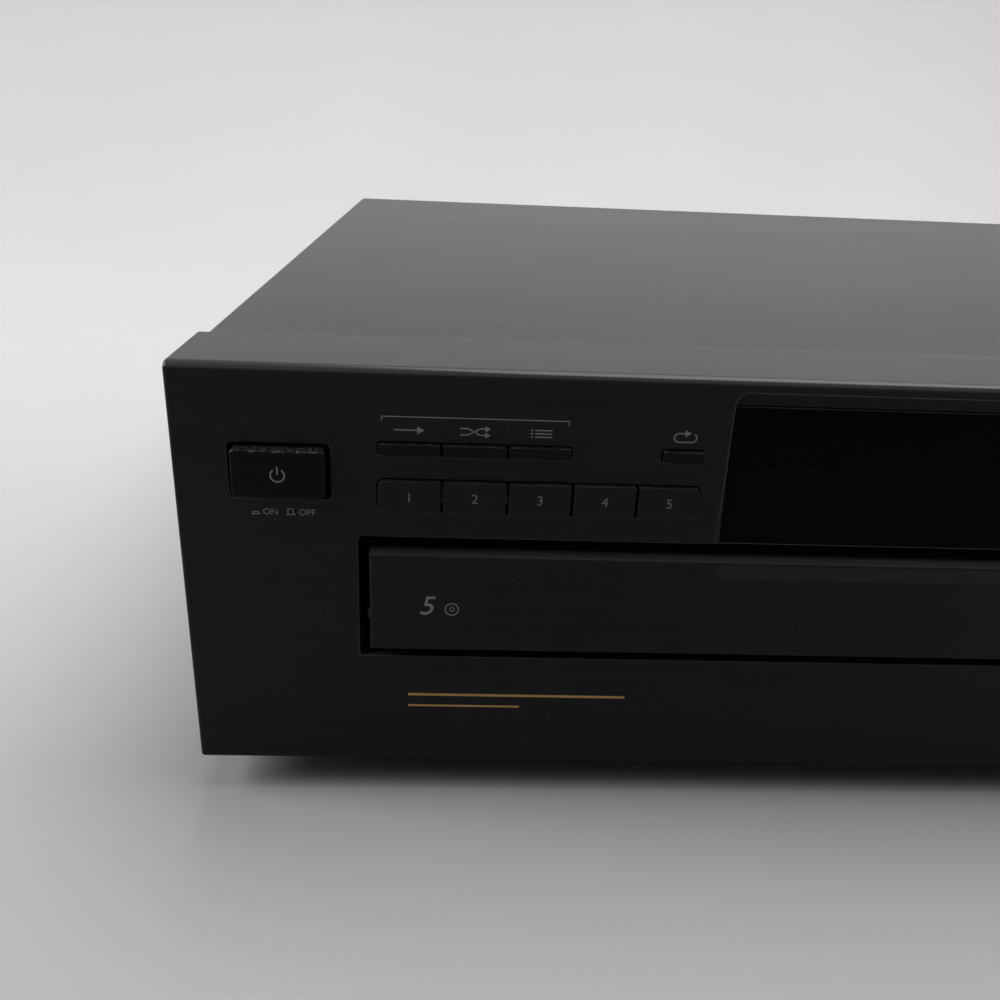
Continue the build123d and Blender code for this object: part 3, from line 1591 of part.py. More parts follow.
# ================================================================ the pieces, one file each
pieces = {
    "chassis_pan": chassis_pan,
    "rear_panel": rear_panel,
    "top_cover": top_cover,
    "front_panel": front_panel,
    "display_window": display_window,
    "display_tube": display_tube,
    "control_board": control_board,
    "power_switch": power_switch,
    "feet": feet,
    "case_screws": case_screws,
    "transformer_core": transformer_core,
    "transformer_windings": transformer_windings,
    "main_board": main_board,
    "board_components": board_components,
    "jack_block": jack_block,
    "jack_shells": jack_shells,
    "cord_gland": cord_gland,
    "mechanism_frame": mechanism_frame,
    "loading_motor": loading_motor,
    "loading_belt": loading_belt,
    "clamp_bridge": clamp_bridge,
    "lift_motor": lift_motor,
    "drawer_front": drawer_front,
    "tray": tray,
    "carousel_spindle": carousel_spindle,
    "table_motor": table_motor,
    "table_belt": table_belt,
    "carousel_table": carousel_table,
    "table_drive_gear": table_drive_gear,
    "table_motor_pulley": table_motor_pulley,
    "loading_motor_pulley": loading_motor_pulley,
    "loader_pulley_gear": loader_pulley_gear,
    "loader_drive_gear": loader_drive_gear,
    "base_unit_frame": base_unit_frame,
    "spindle_motor": spindle_motor,
    "guide_shafts": guide_shafts,
    "sled_motor": sled_motor,
    "lift_slider": lift_slider,
    "lift_gear": lift_gear,
    "spindle_platter": spindle_platter,
    "laser_pickup": laser_pickup,
    "pickup_lens": pickup_lens,
    "sled_gear": sled_gear,
    "clamp_disc": clamp_disc,
    "power_button": power_button,
    "open_close_button": open_close_button,
}

os.makedirs("parts", exist_ok=True)
for name, make in pieces.items():
    export_step(make(), f"parts/{name}.step")
for name, x0, x1, z0, z1 in key_places():
    export_step(push_button(x0, x1, z0, z1), f"parts/{name}.step")
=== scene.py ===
import json
import math
import bpy
import numpy as np
from mathutils import Matrix, Vector


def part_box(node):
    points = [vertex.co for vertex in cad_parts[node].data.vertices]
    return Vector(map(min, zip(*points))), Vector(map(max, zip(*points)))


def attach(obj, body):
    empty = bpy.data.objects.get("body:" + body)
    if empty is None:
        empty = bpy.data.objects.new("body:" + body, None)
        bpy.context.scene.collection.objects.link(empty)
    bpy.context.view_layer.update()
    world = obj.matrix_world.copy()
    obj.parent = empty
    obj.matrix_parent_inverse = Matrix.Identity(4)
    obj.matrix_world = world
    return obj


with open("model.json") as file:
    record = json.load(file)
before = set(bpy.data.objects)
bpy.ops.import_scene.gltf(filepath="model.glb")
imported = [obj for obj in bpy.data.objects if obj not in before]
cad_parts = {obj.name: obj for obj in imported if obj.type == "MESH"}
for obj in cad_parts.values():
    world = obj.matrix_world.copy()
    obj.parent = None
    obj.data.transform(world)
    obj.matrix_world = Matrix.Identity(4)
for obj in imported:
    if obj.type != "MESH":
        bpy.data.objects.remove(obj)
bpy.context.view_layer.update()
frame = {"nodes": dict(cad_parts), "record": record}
MM = 0.001

# ------------------------------------------------------------------ places taken from the frame
panel_low, panel_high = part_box("front_panel")
front_low, front_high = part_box("drawer_front")
panel_face = panel_low.y
cover_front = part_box("top_cover")[0].y
rear_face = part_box("rear_panel")[1].y
table_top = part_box("carousel_table")[1].z
table_middle = Vector((0.0, -15.0 * MM, 0.0))

# ------------------------------------------------------------------ printed marks: sizes and places
ink_thick = 0.03 * MM
key_figure = 2.3 * MM
mode_sign_z = 100.9 * MM
mode_bracket_z = 103.9 * MM
switch_word = 1.55 * MM
switch_word_z = 80.15 * MM
switch_words_aside = 6.6 * MM
drawer_figure = 5.0 * MM
drawer_figure_place = (-157.0 * MM, 57.7 * MM)
disc_sign_place = (-151.3 * MM, 56.8 * MM)
gold_rules_place = (-134.3 * MM, 29.3 * MM)
well_figure = 5.0 * MM
well_figures_radius = 15.0 * MM

# Openings of the front in millimetres: near and far side, low and high edge, corner radius.
openings_both_sides = (
    (-89.1, 89.1, 60.0, 111.8, 3.0),  # display window
    (-173.6, 173.6, 41.8, 74.35, 1.1),  # drawer slot
    (94.2, 169.2, 80.87, 89.2, 1.8),  # key rows
    (179.4, 202.4, 83.5, 97.0, 1.2),  # power and drawer buttons
)
openings_on_left = (
    (124.8, 169.2, 94.75, 98.1, 0.9),  # mode keys
    (94.5, 104.6, 94.75, 98.1, 0.9),  # repeat key
)

# ------------------------------------------------------------------ camera
camera_place = Vector((-150.5, -380.05, 167.9)) * MM
camera_right = Vector((0.99860, -0.03229, 0.04196))
camera_up = Vector((-0.02650, 0.38133, 0.92406))
camera_forward = Vector((0.04583, 0.92387, -0.37994))
lens_length = 32.458
sensor_width = 36.0
lens_shift_y = -0.0207
nearest_seen = 10.0 * MM


def make_camera():
    """Camera at the measured place; its three axes are the columns of its matrix."""
    data = bpy.data.cameras.new("camera")
    data.lens = lens_length
    data.sensor_width = sensor_width
    data.shift_y = lens_shift_y
    data.clip_start = nearest_seen
    camera = bpy.data.objects.new("camera", data)
    bpy.context.collection.objects.link(camera)
    turn = Matrix((camera_right, camera_up, -camera_forward)).transposed()
    camera.matrix_world = Matrix.Translation(camera_place) @ turn.to_4x4()
    bpy.context.scene.camera = camera


# ------------------------------------------------------------------ shader maths
class Value:
    """One shader value. Sums, products and powers of it add the Math nodes they need."""

    def __init__(self, finish, socket):
        self.finish = finish
        self.socket = socket

    def math(self, operation, first, second=0.0):
        values = {0: first, 1: second}
        return self.finish.node("ShaderNodeMath", {"operation": operation}, values).out("Value")

    def __add__(self, other):
        return self.math("ADD", self, other)

    def __radd__(self, other):
        return self.math("ADD", other, self)

    def __sub__(self, other):
        return self.math("SUBTRACT", self, other)

    def __rsub__(self, other):
        return self.math("SUBTRACT", other, self)

    def __mul__(self, other):
        return self.math("MULTIPLY", self, other)

    def __rmul__(self, other):
        return self.math("MULTIPLY", other, self)

    def __pow__(self, other):
        return self.math("POWER", self, other)

    def __abs__(self):
        return self.math("ABSOLUTE", self)

    def at_least(self, low):
        """The value, or low where the value is below it."""
        return self.math("MAXIMUM", self, low)

    def above(self, edge, width):
        """Soft step: 0 below edge, 1 above edge + width."""
        settings = {"interpolation_type": "SMOOTHSTEP"}
        values = {"Value": self, "From Min": edge, "From Max": edge + width}
        return self.finish.node("ShaderNodeMapRange", settings, values).out("Result")


class Made:
    """A node that was just made, whose outputs are read by name."""

    def __init__(self, finish, node):
        self.finish = finish
        self.node = node

    def out(self, name):
        return Value(self.finish, self.node.outputs[name])


class Bench:
    """A node tree that nodes are made in."""

    def __init__(self, tree):
        self.tree = tree

    def node(self, kind, settings, values):
        """Makes a node of a type, applies its settings, then its sockets' values or links."""
        node = self.tree.nodes.new(kind)
        for name, value in settings.items():
            setattr(node, name, value)
        for name, value in values.items():
            self.plug(node.inputs[name], value)
        return Made(self, node)

    def plug(self, socket, value):
        if isinstance(value, Value):
            self.tree.links.new(value.socket, socket)
        else:
            socket.default_value = value


class Finish(Bench):
    """A material that is built up from nodes round one Principled shader."""

    def __init__(self, name):
        self.material = bpy.data.materials.new(name)
        self.material.use_nodes = True
        super().__init__(self.material.node_tree)
        self.tree.nodes.clear()
        self.shader = self.node("ShaderNodeBsdfPrincipled", {}, {}).node
        output = self.node("ShaderNodeOutputMaterial", {}, {}).node
        self.tree.links.new(self.shader.outputs["BSDF"], output.inputs["Surface"])
        self.place = self.node("ShaderNodeTexCoord", {}, {}).out("Object")

    def set(self, **values):
        """Sets or links sockets of the Principled shader; underscores stand for spaces."""
        for name, value in values.items():
            self.plug(self.shader.inputs[name.replace("_", " ")], value)

    def noise(self, scale, detail=4.0, roughness=0.55, stretch=(1.0, 1.0, 1.0)):
        """Soft noise from 0 to 1; stretch multiplies its scale along each axis."""
        moved = self.node("ShaderNodeMapping", {}, {"Vector": self.place, "Scale": stretch})
        values = {"Scale": scale, "Detail": detail, "Roughness": roughness}
        values["Vector"] = moved.out("Vector")
        return self.node("ShaderNodeTexNoise", {}, values).out("Fac")

    def waves(self, direction, scale, distortion=0.0):
        """Bands from 0 to 1 that follow one another along X, Y or Z."""
        kind = {"wave_type": "BANDS", "bands_direction": direction}
        values = {"Vector": self.place, "Scale": scale, "Distortion": distortion}
        return self.node("ShaderNodeTexWave", kind, values).out("Fac")

    def specks(self, scale, size):
        """Scattered round specks: 1 inside a speck, 0 outside."""
        values = {"Vector": self.place, "Scale": scale, "Randomness": 1.0}
        distance = self.node("ShaderNodeTexVoronoi", {"feature": "F1"}, values).out("Distance")
        return 1.0 - distance.above(size, size * 0.5)

    def facing(self, axis):
        """How far the surface faces one axis: the part of its normal along it."""
        normal = self.node("ShaderNodeNewGeometry", {}, {}).out("Normal")
        return self.node("ShaderNodeSeparateXYZ", {}, {"Vector": normal}).out(axis)

    def worn_edge(self):
        """1 on the narrow rounds between a face that looks along Y and its sides, 0 on both; the
        pale tint laid on them is partly wear and partly painted highlight.
        """
        side_ends, face_starts, fade = 0.04, 0.34, 0.12
        turn = self.facing("Y")
        level = turn * turn
        return level.above(side_ends, fade) * (1.0 - level.above(face_starts, fade))

    def along(self, axis):
        """The place along one axis, in metres."""
        return self.node("ShaderNodeSeparateXYZ", {}, {"Vector": self.place}).out(axis)

    def blend(self, factor, first, second):
        """Mix of two colours by a factor."""
        mix = self.node("ShaderNodeMix", {"data_type": "RGBA"}, {})
        sockets = {s.identifier: s for s in mix.node.inputs}
        self.plug(sockets["Factor_Float"], factor)
        self.plug(sockets["A_Color"], first)
        self.plug(sockets["B_Color"], second)
        result = next(s for s in mix.node.outputs if s.identifier == "Result_Color")
        return Value(self, result)

    def bump(self, height, depth, strength=1.0):
        """Bumps of a height map; depth is the real height in metres of its full range."""
        values = {"Height": height, "Distance": depth, "Strength": strength}
        self.set(Normal=self.node("ShaderNodeBump", {}, values).out("Normal"))


def grey(level, warm=0.0):
    """Near-neutral colour, a little warmer for a positive second value."""
    return (level * (1.0 + warm), level, level * (1.0 - warm), 1.0)


def shade(tone, factor):
    """The same colour darker for a factor under 1, or lighter for one over 1."""
    return tuple(min(1.0, part * factor) for part in tone[:3]) + (1.0,)


# ------------------------------------------------------------------ finishes
def cover_paint():
    """Black satin paint of the folded cover: fine grain, wiped dust, more of it along the lip, and
    a lighter veil on the top faces that is partly dust and partly painted sheen.
    """
    paint = Finish("cover_paint")
    black, dust_and_sheen_tint = grey(0.0085, 0.02), (0.0620, 0.0636, 0.0562, 1.0)
    seam_dust, speck_dust = (0.10, 0.10, 0.092, 1.0), grey(0.19, 0.05)
    seam_end, seam_fade = cover_front + 0.6 * MM, 2.4 * MM
    smudge = paint.noise(7.0, 5.0, 0.6)
    cloud = paint.noise(24.0, 4.0, 0.6, (0.8, 1.0, 1.0))
    wipe = paint.noise(40.0, 3.0, 0.6, (0.16, 1.0, 1.0))
    speck = paint.noise(620.0, 4.0, 0.85, (1.0, 0.6, 1.0))
    grain = paint.noise(2600.0, 2.0)
    top = paint.facing("Z").above(0.5, 0.4)
    seam = 1.0 - paint.along("Y").above(seam_end, seam_fade)
    dust = paint.specks(420.0, 0.10) * paint.noise(35.0, 2.0).above(0.48, 0.2)
    film = 0.52 + 0.32 * smudge.above(0.38, 0.28) + 0.40 * cloud + 0.20 * wipe.above(0.42, 0.25)
    # veil on the top faces: partly dust, partly painted sheen that lightens the top
    dust_and_sheen_veil = top * film * (-0.45 + 2.9 * speck)
    base = paint.blend(dust_and_sheen_veil * 0.40, black, dust_and_sheen_tint)
    base = paint.blend(seam * top * wipe * 0.5, base, seam_dust)
    paint.set(Base_Color=paint.blend(top * dust * 0.45, base, speck_dust))
    paint.set(Roughness=0.26 + 0.09 * smudge + 0.05 * cloud + 0.04 * grain)
    paint.set(Specular_IOR_Level=0.32)
    paint.bump(grain * 0.8 + paint.noise(900.0, 2.0) * 0.4, 0.012 * MM, 0.5)
    return paint.material


def rim(across, height, near, far, low, high, corner):
    """1 on the fine round that frames an opening of the front, 0 elsewhere; sizes in millimetres.
    The pale tint laid on it is partly wear and partly painted highlight.

    With a and b the distances beyond the straight parts of the outline, no less than 0, the line
    lies where sqrt(a * a + b * b) - corner is between 0 and about 0.25.
    """
    aside = abs(across - (near + far) / 2 * MM) - ((far - near) / 2 - corner) * MM
    over = abs(height - (low + high) / 2 * MM) - ((high - low) / 2 - corner) * MM
    aside, over = aside.at_least(0.0), over.at_least(0.0)
    distance = (aside * aside + over * over) ** 0.5 - corner * MM
    inner_fade, outer_edge, outer_fade = 0.05 * MM, 0.21 * MM, 0.10 * MM
    beyond = distance.above(outer_edge, outer_fade)
    return distance.above(-inner_fade, inner_fade) * (1.0 - beyond)


def opening_rims(skin):
    """The pale lines round all openings, on the front face only: partly wear, partly painted
    highlight.
    """
    height = skin.along("Z")
    both, left = abs(skin.along("X")), 0.0 - skin.along("X")
    rim_wear_and_highlights = [rim(both, height, *opening) for opening in openings_both_sides]
    rim_wear_and_highlights += [rim(left, height, *opening) for opening in openings_on_left]
    return sum(rim_wear_and_highlights) * (1.0 - skin.along("Y").above(panel_face + 0.2 * MM, 0.1 * MM))


def rubbed_strip(skin):
    """1 on the strip under the window along the drawer's upper edge, where a painted reflection
    lightens the drawer.
    """
    low, high = front_high.z - 4.2 * MM, front_high.z - 0.6 * MM
    left, right = -89.0 * MM, 88.0 * MM
    wander = 0.6 * MM
    height = skin.along("Z") + wander * skin.noise(25.0, 2.0)
    across = skin.along("X")
    upright = height.above(low, 0.4 * MM) * (1.0 - height.above(high, 0.3 * MM))
    return upright * across.above(left, 1.0 * MM) * (1.0 - across.above(right, 1.0 * MM))


def panel_moulding(name="panel_moulding", level=0.0126, shine=0.36, reflection_strength=0.0):
    """Black moulded front: fine hairline grain, faint wipe marks, pale edges and opening rims that
    are partly wear and partly painted highlight, dust and painted sheen on top.

    The last argument is the strength of the painted reflection strip on the drawer; without one it
    is the panel round the drawer.
    """
    skin = Finish(name)
    dark, light = grey(level * 0.62, -0.02), grey(level * 1.4, -0.03)
    lip_dust_and_sheen_tint, reflection_strip_tint, rim_wear_and_highlight_tint = (0.0450, 0.0452, 0.0415, 1.0), grey(0.024, 0.04), grey(0.090)
    wiped_tint, wear_and_highlight_tint, dust_tint = grey(level * 2.2, 0.03), grey(0.036, 0.02), grey(0.15, 0.06)
    nose_height = 1.5 * MM
    lines = skin.noise(700.0, 3.0, 0.6, (0.03, 1.0, 1.0))
    wide = skin.noise(120.0, 4.0, 0.65, (0.35, 1.0, 1.0))
    wipe = skin.noise(11.0, 4.0, 0.65, (0.5, 1.0, 1.6))
    top = skin.facing("Z").above(0.80, 0.15)
    dust = skin.specks(520.0, 0.09) * skin.noise(60.0, 2.0).above(0.48, 0.15)
    nose = skin.along("Z").above(panel_high.z - nose_height, 0.4 * MM) * (1.0 - top)
    tint = skin.blend(lines * 0.55 + wide * 0.45, dark, light)
    # upward faces tinted lighter: partly dust, partly painted sheen
    tint = skin.blend(top * (0.65 + 0.5 * wipe), tint, lip_dust_and_sheen_tint)
    if reflection_strength:
        # painted reflection: a lighter strip on the drawer under the window
        tint = skin.blend(rubbed_strip(skin) * reflection_strength, tint, reflection_strip_tint)
    else:
        # pale lines round the openings: partly wear, partly painted highlight
        tint = skin.blend(opening_rims(skin) * (0.25 + 0.6 * wipe), tint, rim_wear_and_highlight_tint)
        skin.set(Coat_Weight=nose * 0.65 + top * 0.35)
        skin.set(Coat_Roughness=0.16)
    tint = skin.blend(wipe.above(0.52, 0.3) * 0.3, tint, wiped_tint)
    # pale edges and the top front round: partly wear, partly painted highlight
    wear_and_highlight = (skin.worn_edge() + nose * 0.5) * (0.35 + 0.6 * wipe)
    tint = skin.blend(wear_and_highlight, tint, wear_and_highlight_tint)
    skin.set(Base_Color=skin.blend(dust * (0.22 + 0.35 * top), tint, dust_tint))
    skin.set(Roughness=shine + 0.10 * wipe + 0.06 * lines)
    skin.set(Specular_IOR_Level=0.11)
    skin.bump(lines * 0.7 + wide * 0.3, 0.012 * MM, 0.5)
    return skin.material


def key_moulding(name="key_moulding", level=0.0125, dusty=0.35):
    """Smoother black plastic of the buttons: polished by fingers, pale edges that are partly wear
    and partly painted highlight, dusty on top.
    """
    skin = Finish(name)
    dark, light = grey(level * 0.8), grey(level * 1.25, 0.02)
    wear_and_highlight_tint, dust_tint = grey(0.045, 0.02), (0.17, 0.145, 0.135, 1.0)
    touch = skin.noise(160.0, 3.0, 0.6)
    grain = skin.noise(3000.0, 2.0)
    top = skin.facing("Z").above(0.3, 0.4)
    dust = skin.noise(1500.0, 3.0).above(0.46, 0.2) * top
    tint = skin.blend(touch, dark, light)
    # pale edges: partly wear, partly painted highlight
    tint = skin.blend(skin.worn_edge() * (0.3 + 0.6 * touch), tint, wear_and_highlight_tint)
    skin.set(Base_Color=skin.blend(dust * dusty, tint, dust_tint))
    skin.set(Roughness=0.34 + 0.12 * touch)
    skin.set(Specular_IOR_Level=0.09)
    skin.bump(grain, 0.006 * MM, 0.4)
    return skin.material


def smoked_window():
    """Glossy black acrylic that lets a little of the display show; its edges carry a painted
    highlight.
    """
    skin = Finish("smoked_window")
    black, scratched, edge_highlight_tint = grey(0.0012), grey(0.02), grey(0.11)
    haze = skin.noise(45.0, 4.0, 0.6, (1.0, 1.0, 0.6))
    scratch = skin.noise(240.0, 2.0, 0.5, (0.05, 1.0, 1.0)).above(0.66, 0.06)
    specks = skin.specks(300.0, 0.07) * haze.above(0.45, 0.1)
    # painted highlight: every face of the window that does not look to the front is tinted pale
    across_face = skin.facing("X")
    rise = skin.facing("Z") - 0.07
    edge = (across_face * across_face + rise * rise).above(0.04, 0.2)
    face = skin.blend(scratch * 0.2 + specks * 0.5, black, scratched)
    skin.set(Base_Color=skin.blend(edge, face, edge_highlight_tint))
    skin.set(Roughness=0.07 + 0.06 * haze + 0.3 * edge)
    skin.set(Specular_IOR_Level=0.035)
    skin.set(Alpha=0.97)
    return skin.material


def display_glass():
    """Dark glass of the display tube, with the grid of its segments faintly seen."""
    skin = Finish("display_glass")
    glass, segment = grey(0.015), (0.035, 0.05, 0.045, 1.0)
    cells = skin.waves("X", 65.0).above(0.25, 0.5)
    rows = skin.noise(160.0, 2.0)
    skin.set(Base_Color=skin.blend(cells * 0.8, glass, segment))
    skin.set(Roughness=0.12 + 0.06 * rows)
    return skin.material


def plated_steel(name="plated_steel", tone=(0.52, 0.53, 0.50, 1.0), rough=0.36):
    """Zinc plated sheet: cloudy spangle and fine rolling lines."""
    skin = Finish(name)
    values = {"Vector": skin.place, "Scale": 160.0}
    spangle = skin.node("ShaderNodeTexVoronoi", {"feature": "F1"}, values).out("Color")
    cloud = skin.noise(60.0, 4.0, 0.6)
    lines = skin.noise(900.0, 2.0, 0.5, (0.03, 1.0, 1.0))
    base = skin.blend(cloud * 0.5, tone, shade(tone, 0.78))
    skin.set(Base_Color=skin.blend(0.05, base, spangle))
    skin.set(Metallic=1.0)
    skin.set(Roughness=rough + 0.12 * cloud + 0.08 * lines)
    skin.bump(lines, 0.006 * MM, 0.4)
    return skin.material


def bright_metal(name, tone, rough):
    """Turned or plated bright metal with fine turning marks."""
    skin = Finish(name)
    rings = skin.noise(2200.0, 2.0, 0.5, (0.2, 1.0, 1.0))
    wear = skin.noise(120.0, 4.0, 0.6)
    skin.set(Base_Color=skin.blend(wear * 0.4, tone, shade(tone, 0.8)))
    skin.set(Metallic=1.0)
    skin.set(Roughness=rough + 0.10 * wear + 0.04 * rings)
    skin.bump(rings, 0.003 * MM, 0.3)
    return skin.material


def moulded_plastic(name, tone, rough, texture):
    """Injection moulded plastic with slight flow marks and a spark eroded surface.

    texture is the depth of that surface's grain in millimetres.
    """
    skin = Finish(name)
    flow = skin.noise(26.0, 4.0, 0.6)
    grain = skin.noise(1600.0, 3.0, 0.6)
    skin.set(Base_Color=skin.blend(flow * 0.5, tone, shade(tone, 1.25)))
    skin.set(Roughness=rough + 0.10 * flow + 0.06 * grain)
    skin.bump(grain, texture * MM, 0.4)
    return skin.material


def rubber_skin():
    """Dull black rubber with a bloom of chalk."""
    skin = Finish("rubber_skin")
    black, chalk = grey(0.012), grey(0.035, 0.04)
    bloom = skin.noise(140.0, 4.0, 0.6)
    skin.set(Base_Color=skin.blend(bloom.above(0.45, 0.3), black, chalk))
    skin.set(Roughness=0.72 + 0.15 * bloom)
    skin.bump(skin.noise(1800.0, 2.0), 0.02 * MM, 0.4)
    return skin.material


def board_laminate():
    """Brown circuit board: lacquer over paper laminate, with faint copper tracks."""
    skin = Finish("board_laminate")
    paper, pale_paper = (0.20, 0.115, 0.035, 1.0), (0.27, 0.16, 0.055, 1.0)
    copper = (0.33, 0.19, 0.08, 1.0)
    values = {"Vector": skin.place, "Scale": 90.0, "Mortar Size": 0.06}
    tracks = skin.node("ShaderNodeTexBrick", {}, values).out("Fac")
    fibre = skin.noise(500.0, 3.0, 0.6, (1.0, 0.2, 1.0))
    base = skin.blend(fibre, paper, pale_paper)
    skin.set(Base_Color=skin.blend(tracks * 0.55, base, copper))
    skin.set(Roughness=0.30 + 0.15 * fibre)
    skin.bump(tracks, 0.03 * MM, 0.5)
    return skin.material


def coil_tape():
    """Yellow tape wound round the coil, with the edges of its turns."""
    skin = Finish("coil_tape")
    yellow, overlap = (0.60, 0.40, 0.05, 1.0), (0.42, 0.26, 0.03, 1.0)
    turns = skin.waves("Z", 60.0, 0.6)
    skin.set(Base_Color=skin.blend(turns * 0.4, yellow, overlap))
    skin.set(Roughness=0.22 + 0.12 * turns)
    skin.bump(turns, 0.06 * MM, 0.5)
    return skin.material


def core_plates():
    """Edges of the stacked transformer plates under brown varnish."""
    skin = Finish("core_plates")
    brown, pale_brown = (0.10, 0.085, 0.075, 1.0), (0.17, 0.14, 0.12, 1.0)
    plates = skin.waves("Y", 320.0, 0.4)
    varnish = skin.noise(70.0, 4.0, 0.6)
    skin.set(Base_Color=skin.blend(varnish, brown, pale_brown))
    skin.set(Metallic=0.6)
    skin.set(Roughness=0.38 + 0.20 * varnish)
    skin.bump(plates, 0.08 * MM, 0.6)
    return skin.material


def component_skin():
    """Components on the board: dark moulded bodies, blue sleeves where the capacitors stand."""
    skin = Finish("component_skin")
    black, print_tint, sleeve = grey(0.013), grey(0.22), (0.012, 0.03, 0.12, 1.0)
    cans_from, cans_to = 120.0 * MM, 140.0 * MM
    depth = skin.along("Y")
    cans = depth.above(cans_from, 1.0 * MM) * (1.0 - depth.above(cans_to, 1.0 * MM))
    print_marks = skin.noise(500.0, 2.0, 0.5, (0.4, 1.0, 1.0)).above(0.62, 0.04)
    body = skin.blend(print_marks * 0.5, black, print_tint)
    skin.set(Base_Color=skin.blend(cans, body, sleeve))
    skin.set(Roughness=0.42 - cans * 0.16 + 0.1 * print_marks)
    return skin.material


def jack_moulding():
    """Black jack body; outside the case one insulator is white and the other red."""
    skin = Finish("jack_moulding")
    black, white, red = grey(0.018), (0.72, 0.71, 0.68, 1.0), (0.50, 0.012, 0.010, 1.0)
    low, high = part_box("jack_block")
    outside = skin.along("Y").above(rear_face - 1.0 * MM, 0.2 * MM)
    red_side = skin.along("X").above((low.x + high.x) / 2, 0.2 * MM)
    grain = skin.noise(1500.0, 2.0)
    skin.set(Base_Color=skin.blend(outside, black, skin.blend(red_side, white, red)))
    skin.set(Roughness=0.32 + 0.08 * grain)
    skin.bump(grain, 0.006 * MM, 0.3)
    return skin.material


def lens_glass():
    """Coated lens: a blue-violet sheen on a clear bead, black holder round it."""
    skin = Finish("lens_glass")
    holder, violet = grey(0.02), (0.10, 0.12, 0.30, 1.0)
    bead_height = 1.15 * MM
    bead = skin.along("Z").above(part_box("pickup_lens")[1].z - bead_height, 0.1 * MM)
    haze = skin.noise(800.0, 2.0)
    skin.set(Base_Color=skin.blend(bead, holder, violet))
    skin.set(Roughness=0.40 - bead * 0.34 + 0.04 * haze)
    skin.set(Coat_Weight=bead * 0.8)
    return skin.material


def ink(name, colour, rough=0.55):
    """Printing ink: thin, slightly uneven."""
    skin = Finish(name)
    patch = skin.noise(1400.0, 3.0, 0.6)
    skin.set(Base_Color=skin.blend(patch, colour, shade(colour, 0.72)))
    skin.set(Roughness=rough + 0.1 * patch)
    return skin.material


# ------------------------------------------------------------------ finishes on the frame's nodes
def dress_nodes():
    """Gives every node of the frame its finish."""
    black_frame = moulded_plastic("black_frame", grey(0.016), 0.42, 0.02)
    natural = moulded_plastic("natural_acetal", (0.66, 0.64, 0.56, 1.0), 0.34, 0.006)
    can = plated_steel("motor_can", (0.50, 0.50, 0.49, 1.0), 0.28)
    steel = plated_steel()
    turned = bright_metal("turned_steel", (0.58, 0.58, 0.57, 1.0), 0.20)
    brass = bright_metal("turned_brass", (0.72, 0.50, 0.18, 1.0), 0.24)
    keys = key_moulding()
    mode_keys = key_moulding("mode_key_moulding", level=0.0045)
    wide_keys = key_moulding("wide_key_moulding", level=0.0022, dusty=0.75)
    board = board_laminate()
    rubber = rubber_skin()
    finishes = {
        "top_cover": cover_paint(),
        "front_panel": panel_moulding(),
        "drawer_front": panel_moulding("drawer_moulding", level=0.0104, shine=0.34, reflection_strength=0.9),
        "display_window": smoked_window(),
        "display_tube": display_glass(),
        "rear_panel": moulded_plastic("rear_paint", grey(0.014), 0.46, 0.01),
        "chassis_pan": steel,
        "clamp_bridge": steel,
        "case_screws": bright_metal("black_zinc", grey(0.055), 0.30),
        "feet": moulded_plastic("foot_plastic", grey(0.010), 0.38, 0.03),
        "jack_shells": bright_metal("nickel", (0.72, 0.70, 0.66, 1.0), 0.12),
        "jack_block": jack_moulding(),
        "transformer_core": core_plates(),
        "transformer_windings": coil_tape(),
        "board_components": component_skin(),
        "pickup_lens": lens_glass(),
        "tray": moulded_plastic("tray_plastic", grey(0.020, 0.01), 0.48, 0.03),
        "carousel_table": moulded_plastic("table_plastic", grey(0.028, 0.01), 0.46, 0.03),
        "clamp_disc": moulded_plastic("clamp_plastic", grey(0.022), 0.36, 0.01),
        "spindle_platter": moulded_plastic("platter_plastic", grey(0.018), 0.36, 0.01),
    }
    loader_gears = ("loader_drive_gear", "loader_pulley_gear", "table_drive_gear")
    shared = (
        (black_frame, ("mechanism_frame", "base_unit_frame", "laser_pickup", "power_switch")),
        (natural, (*loader_gears, "sled_gear", "lift_gear", "lift_slider")),
        (can, ("loading_motor", "table_motor", "spindle_motor", "sled_motor", "lift_motor")),
        (turned, ("carousel_spindle", "guide_shafts")),
        (brass, ("loading_motor_pulley", "table_motor_pulley")),
        (board, ("control_board", "main_board")),
        (rubber, ("loading_belt", "table_belt", "cord_gland")),
        (wide_keys, ("power_button", "open_close_button")),
        (mode_keys, ("continue_button", "shuffle_button", "program_button", "repeat_button")),
    )
    for material, names in shared:
        finishes.update(dict.fromkeys(names, material))
    for name, node in frame["nodes"].items():
        node.data.materials.clear()
        node.data.materials.append(finishes.get(name, keys))


# ------------------------------------------------------------------ printed marks
def new_piece(name, mesh, material, body):
    """Object at the origin that shows a mesh in one finish and rides on a body."""
    mesh.materials.clear()
    mesh.materials.append(material)
    mesh.update()
    piece = bpy.data.objects.new(name, mesh)
    bpy.context.collection.objects.link(piece)
    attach(piece, body)


def slab(loop):
    """Thin slab of one closed outline: the loop in front, the same loop behind, a wall between.

    loop holds n points (x, z) in millimetres, wound anticlockwise as seen from the front; the front
    copy lies at y = -ink_thick and the rear copy at y = 0.
    """
    loop = np.asarray(loop, float)
    count = len(loop)
    front = np.column_stack((loop[:, 0], np.full(count, -ink_thick), loop[:, 1]))
    rear = np.column_stack((loop[:, 0], np.zeros(count), loop[:, 1]))
    index = np.arange(count)
    after = (index + 1) % count
    walls = np.column_stack((index, index + count, after + count, after)).tolist()
    faces = [index.tolist(), (index[::-1] + count).tolist()] + walls
    return np.vstack((front, rear)), faces


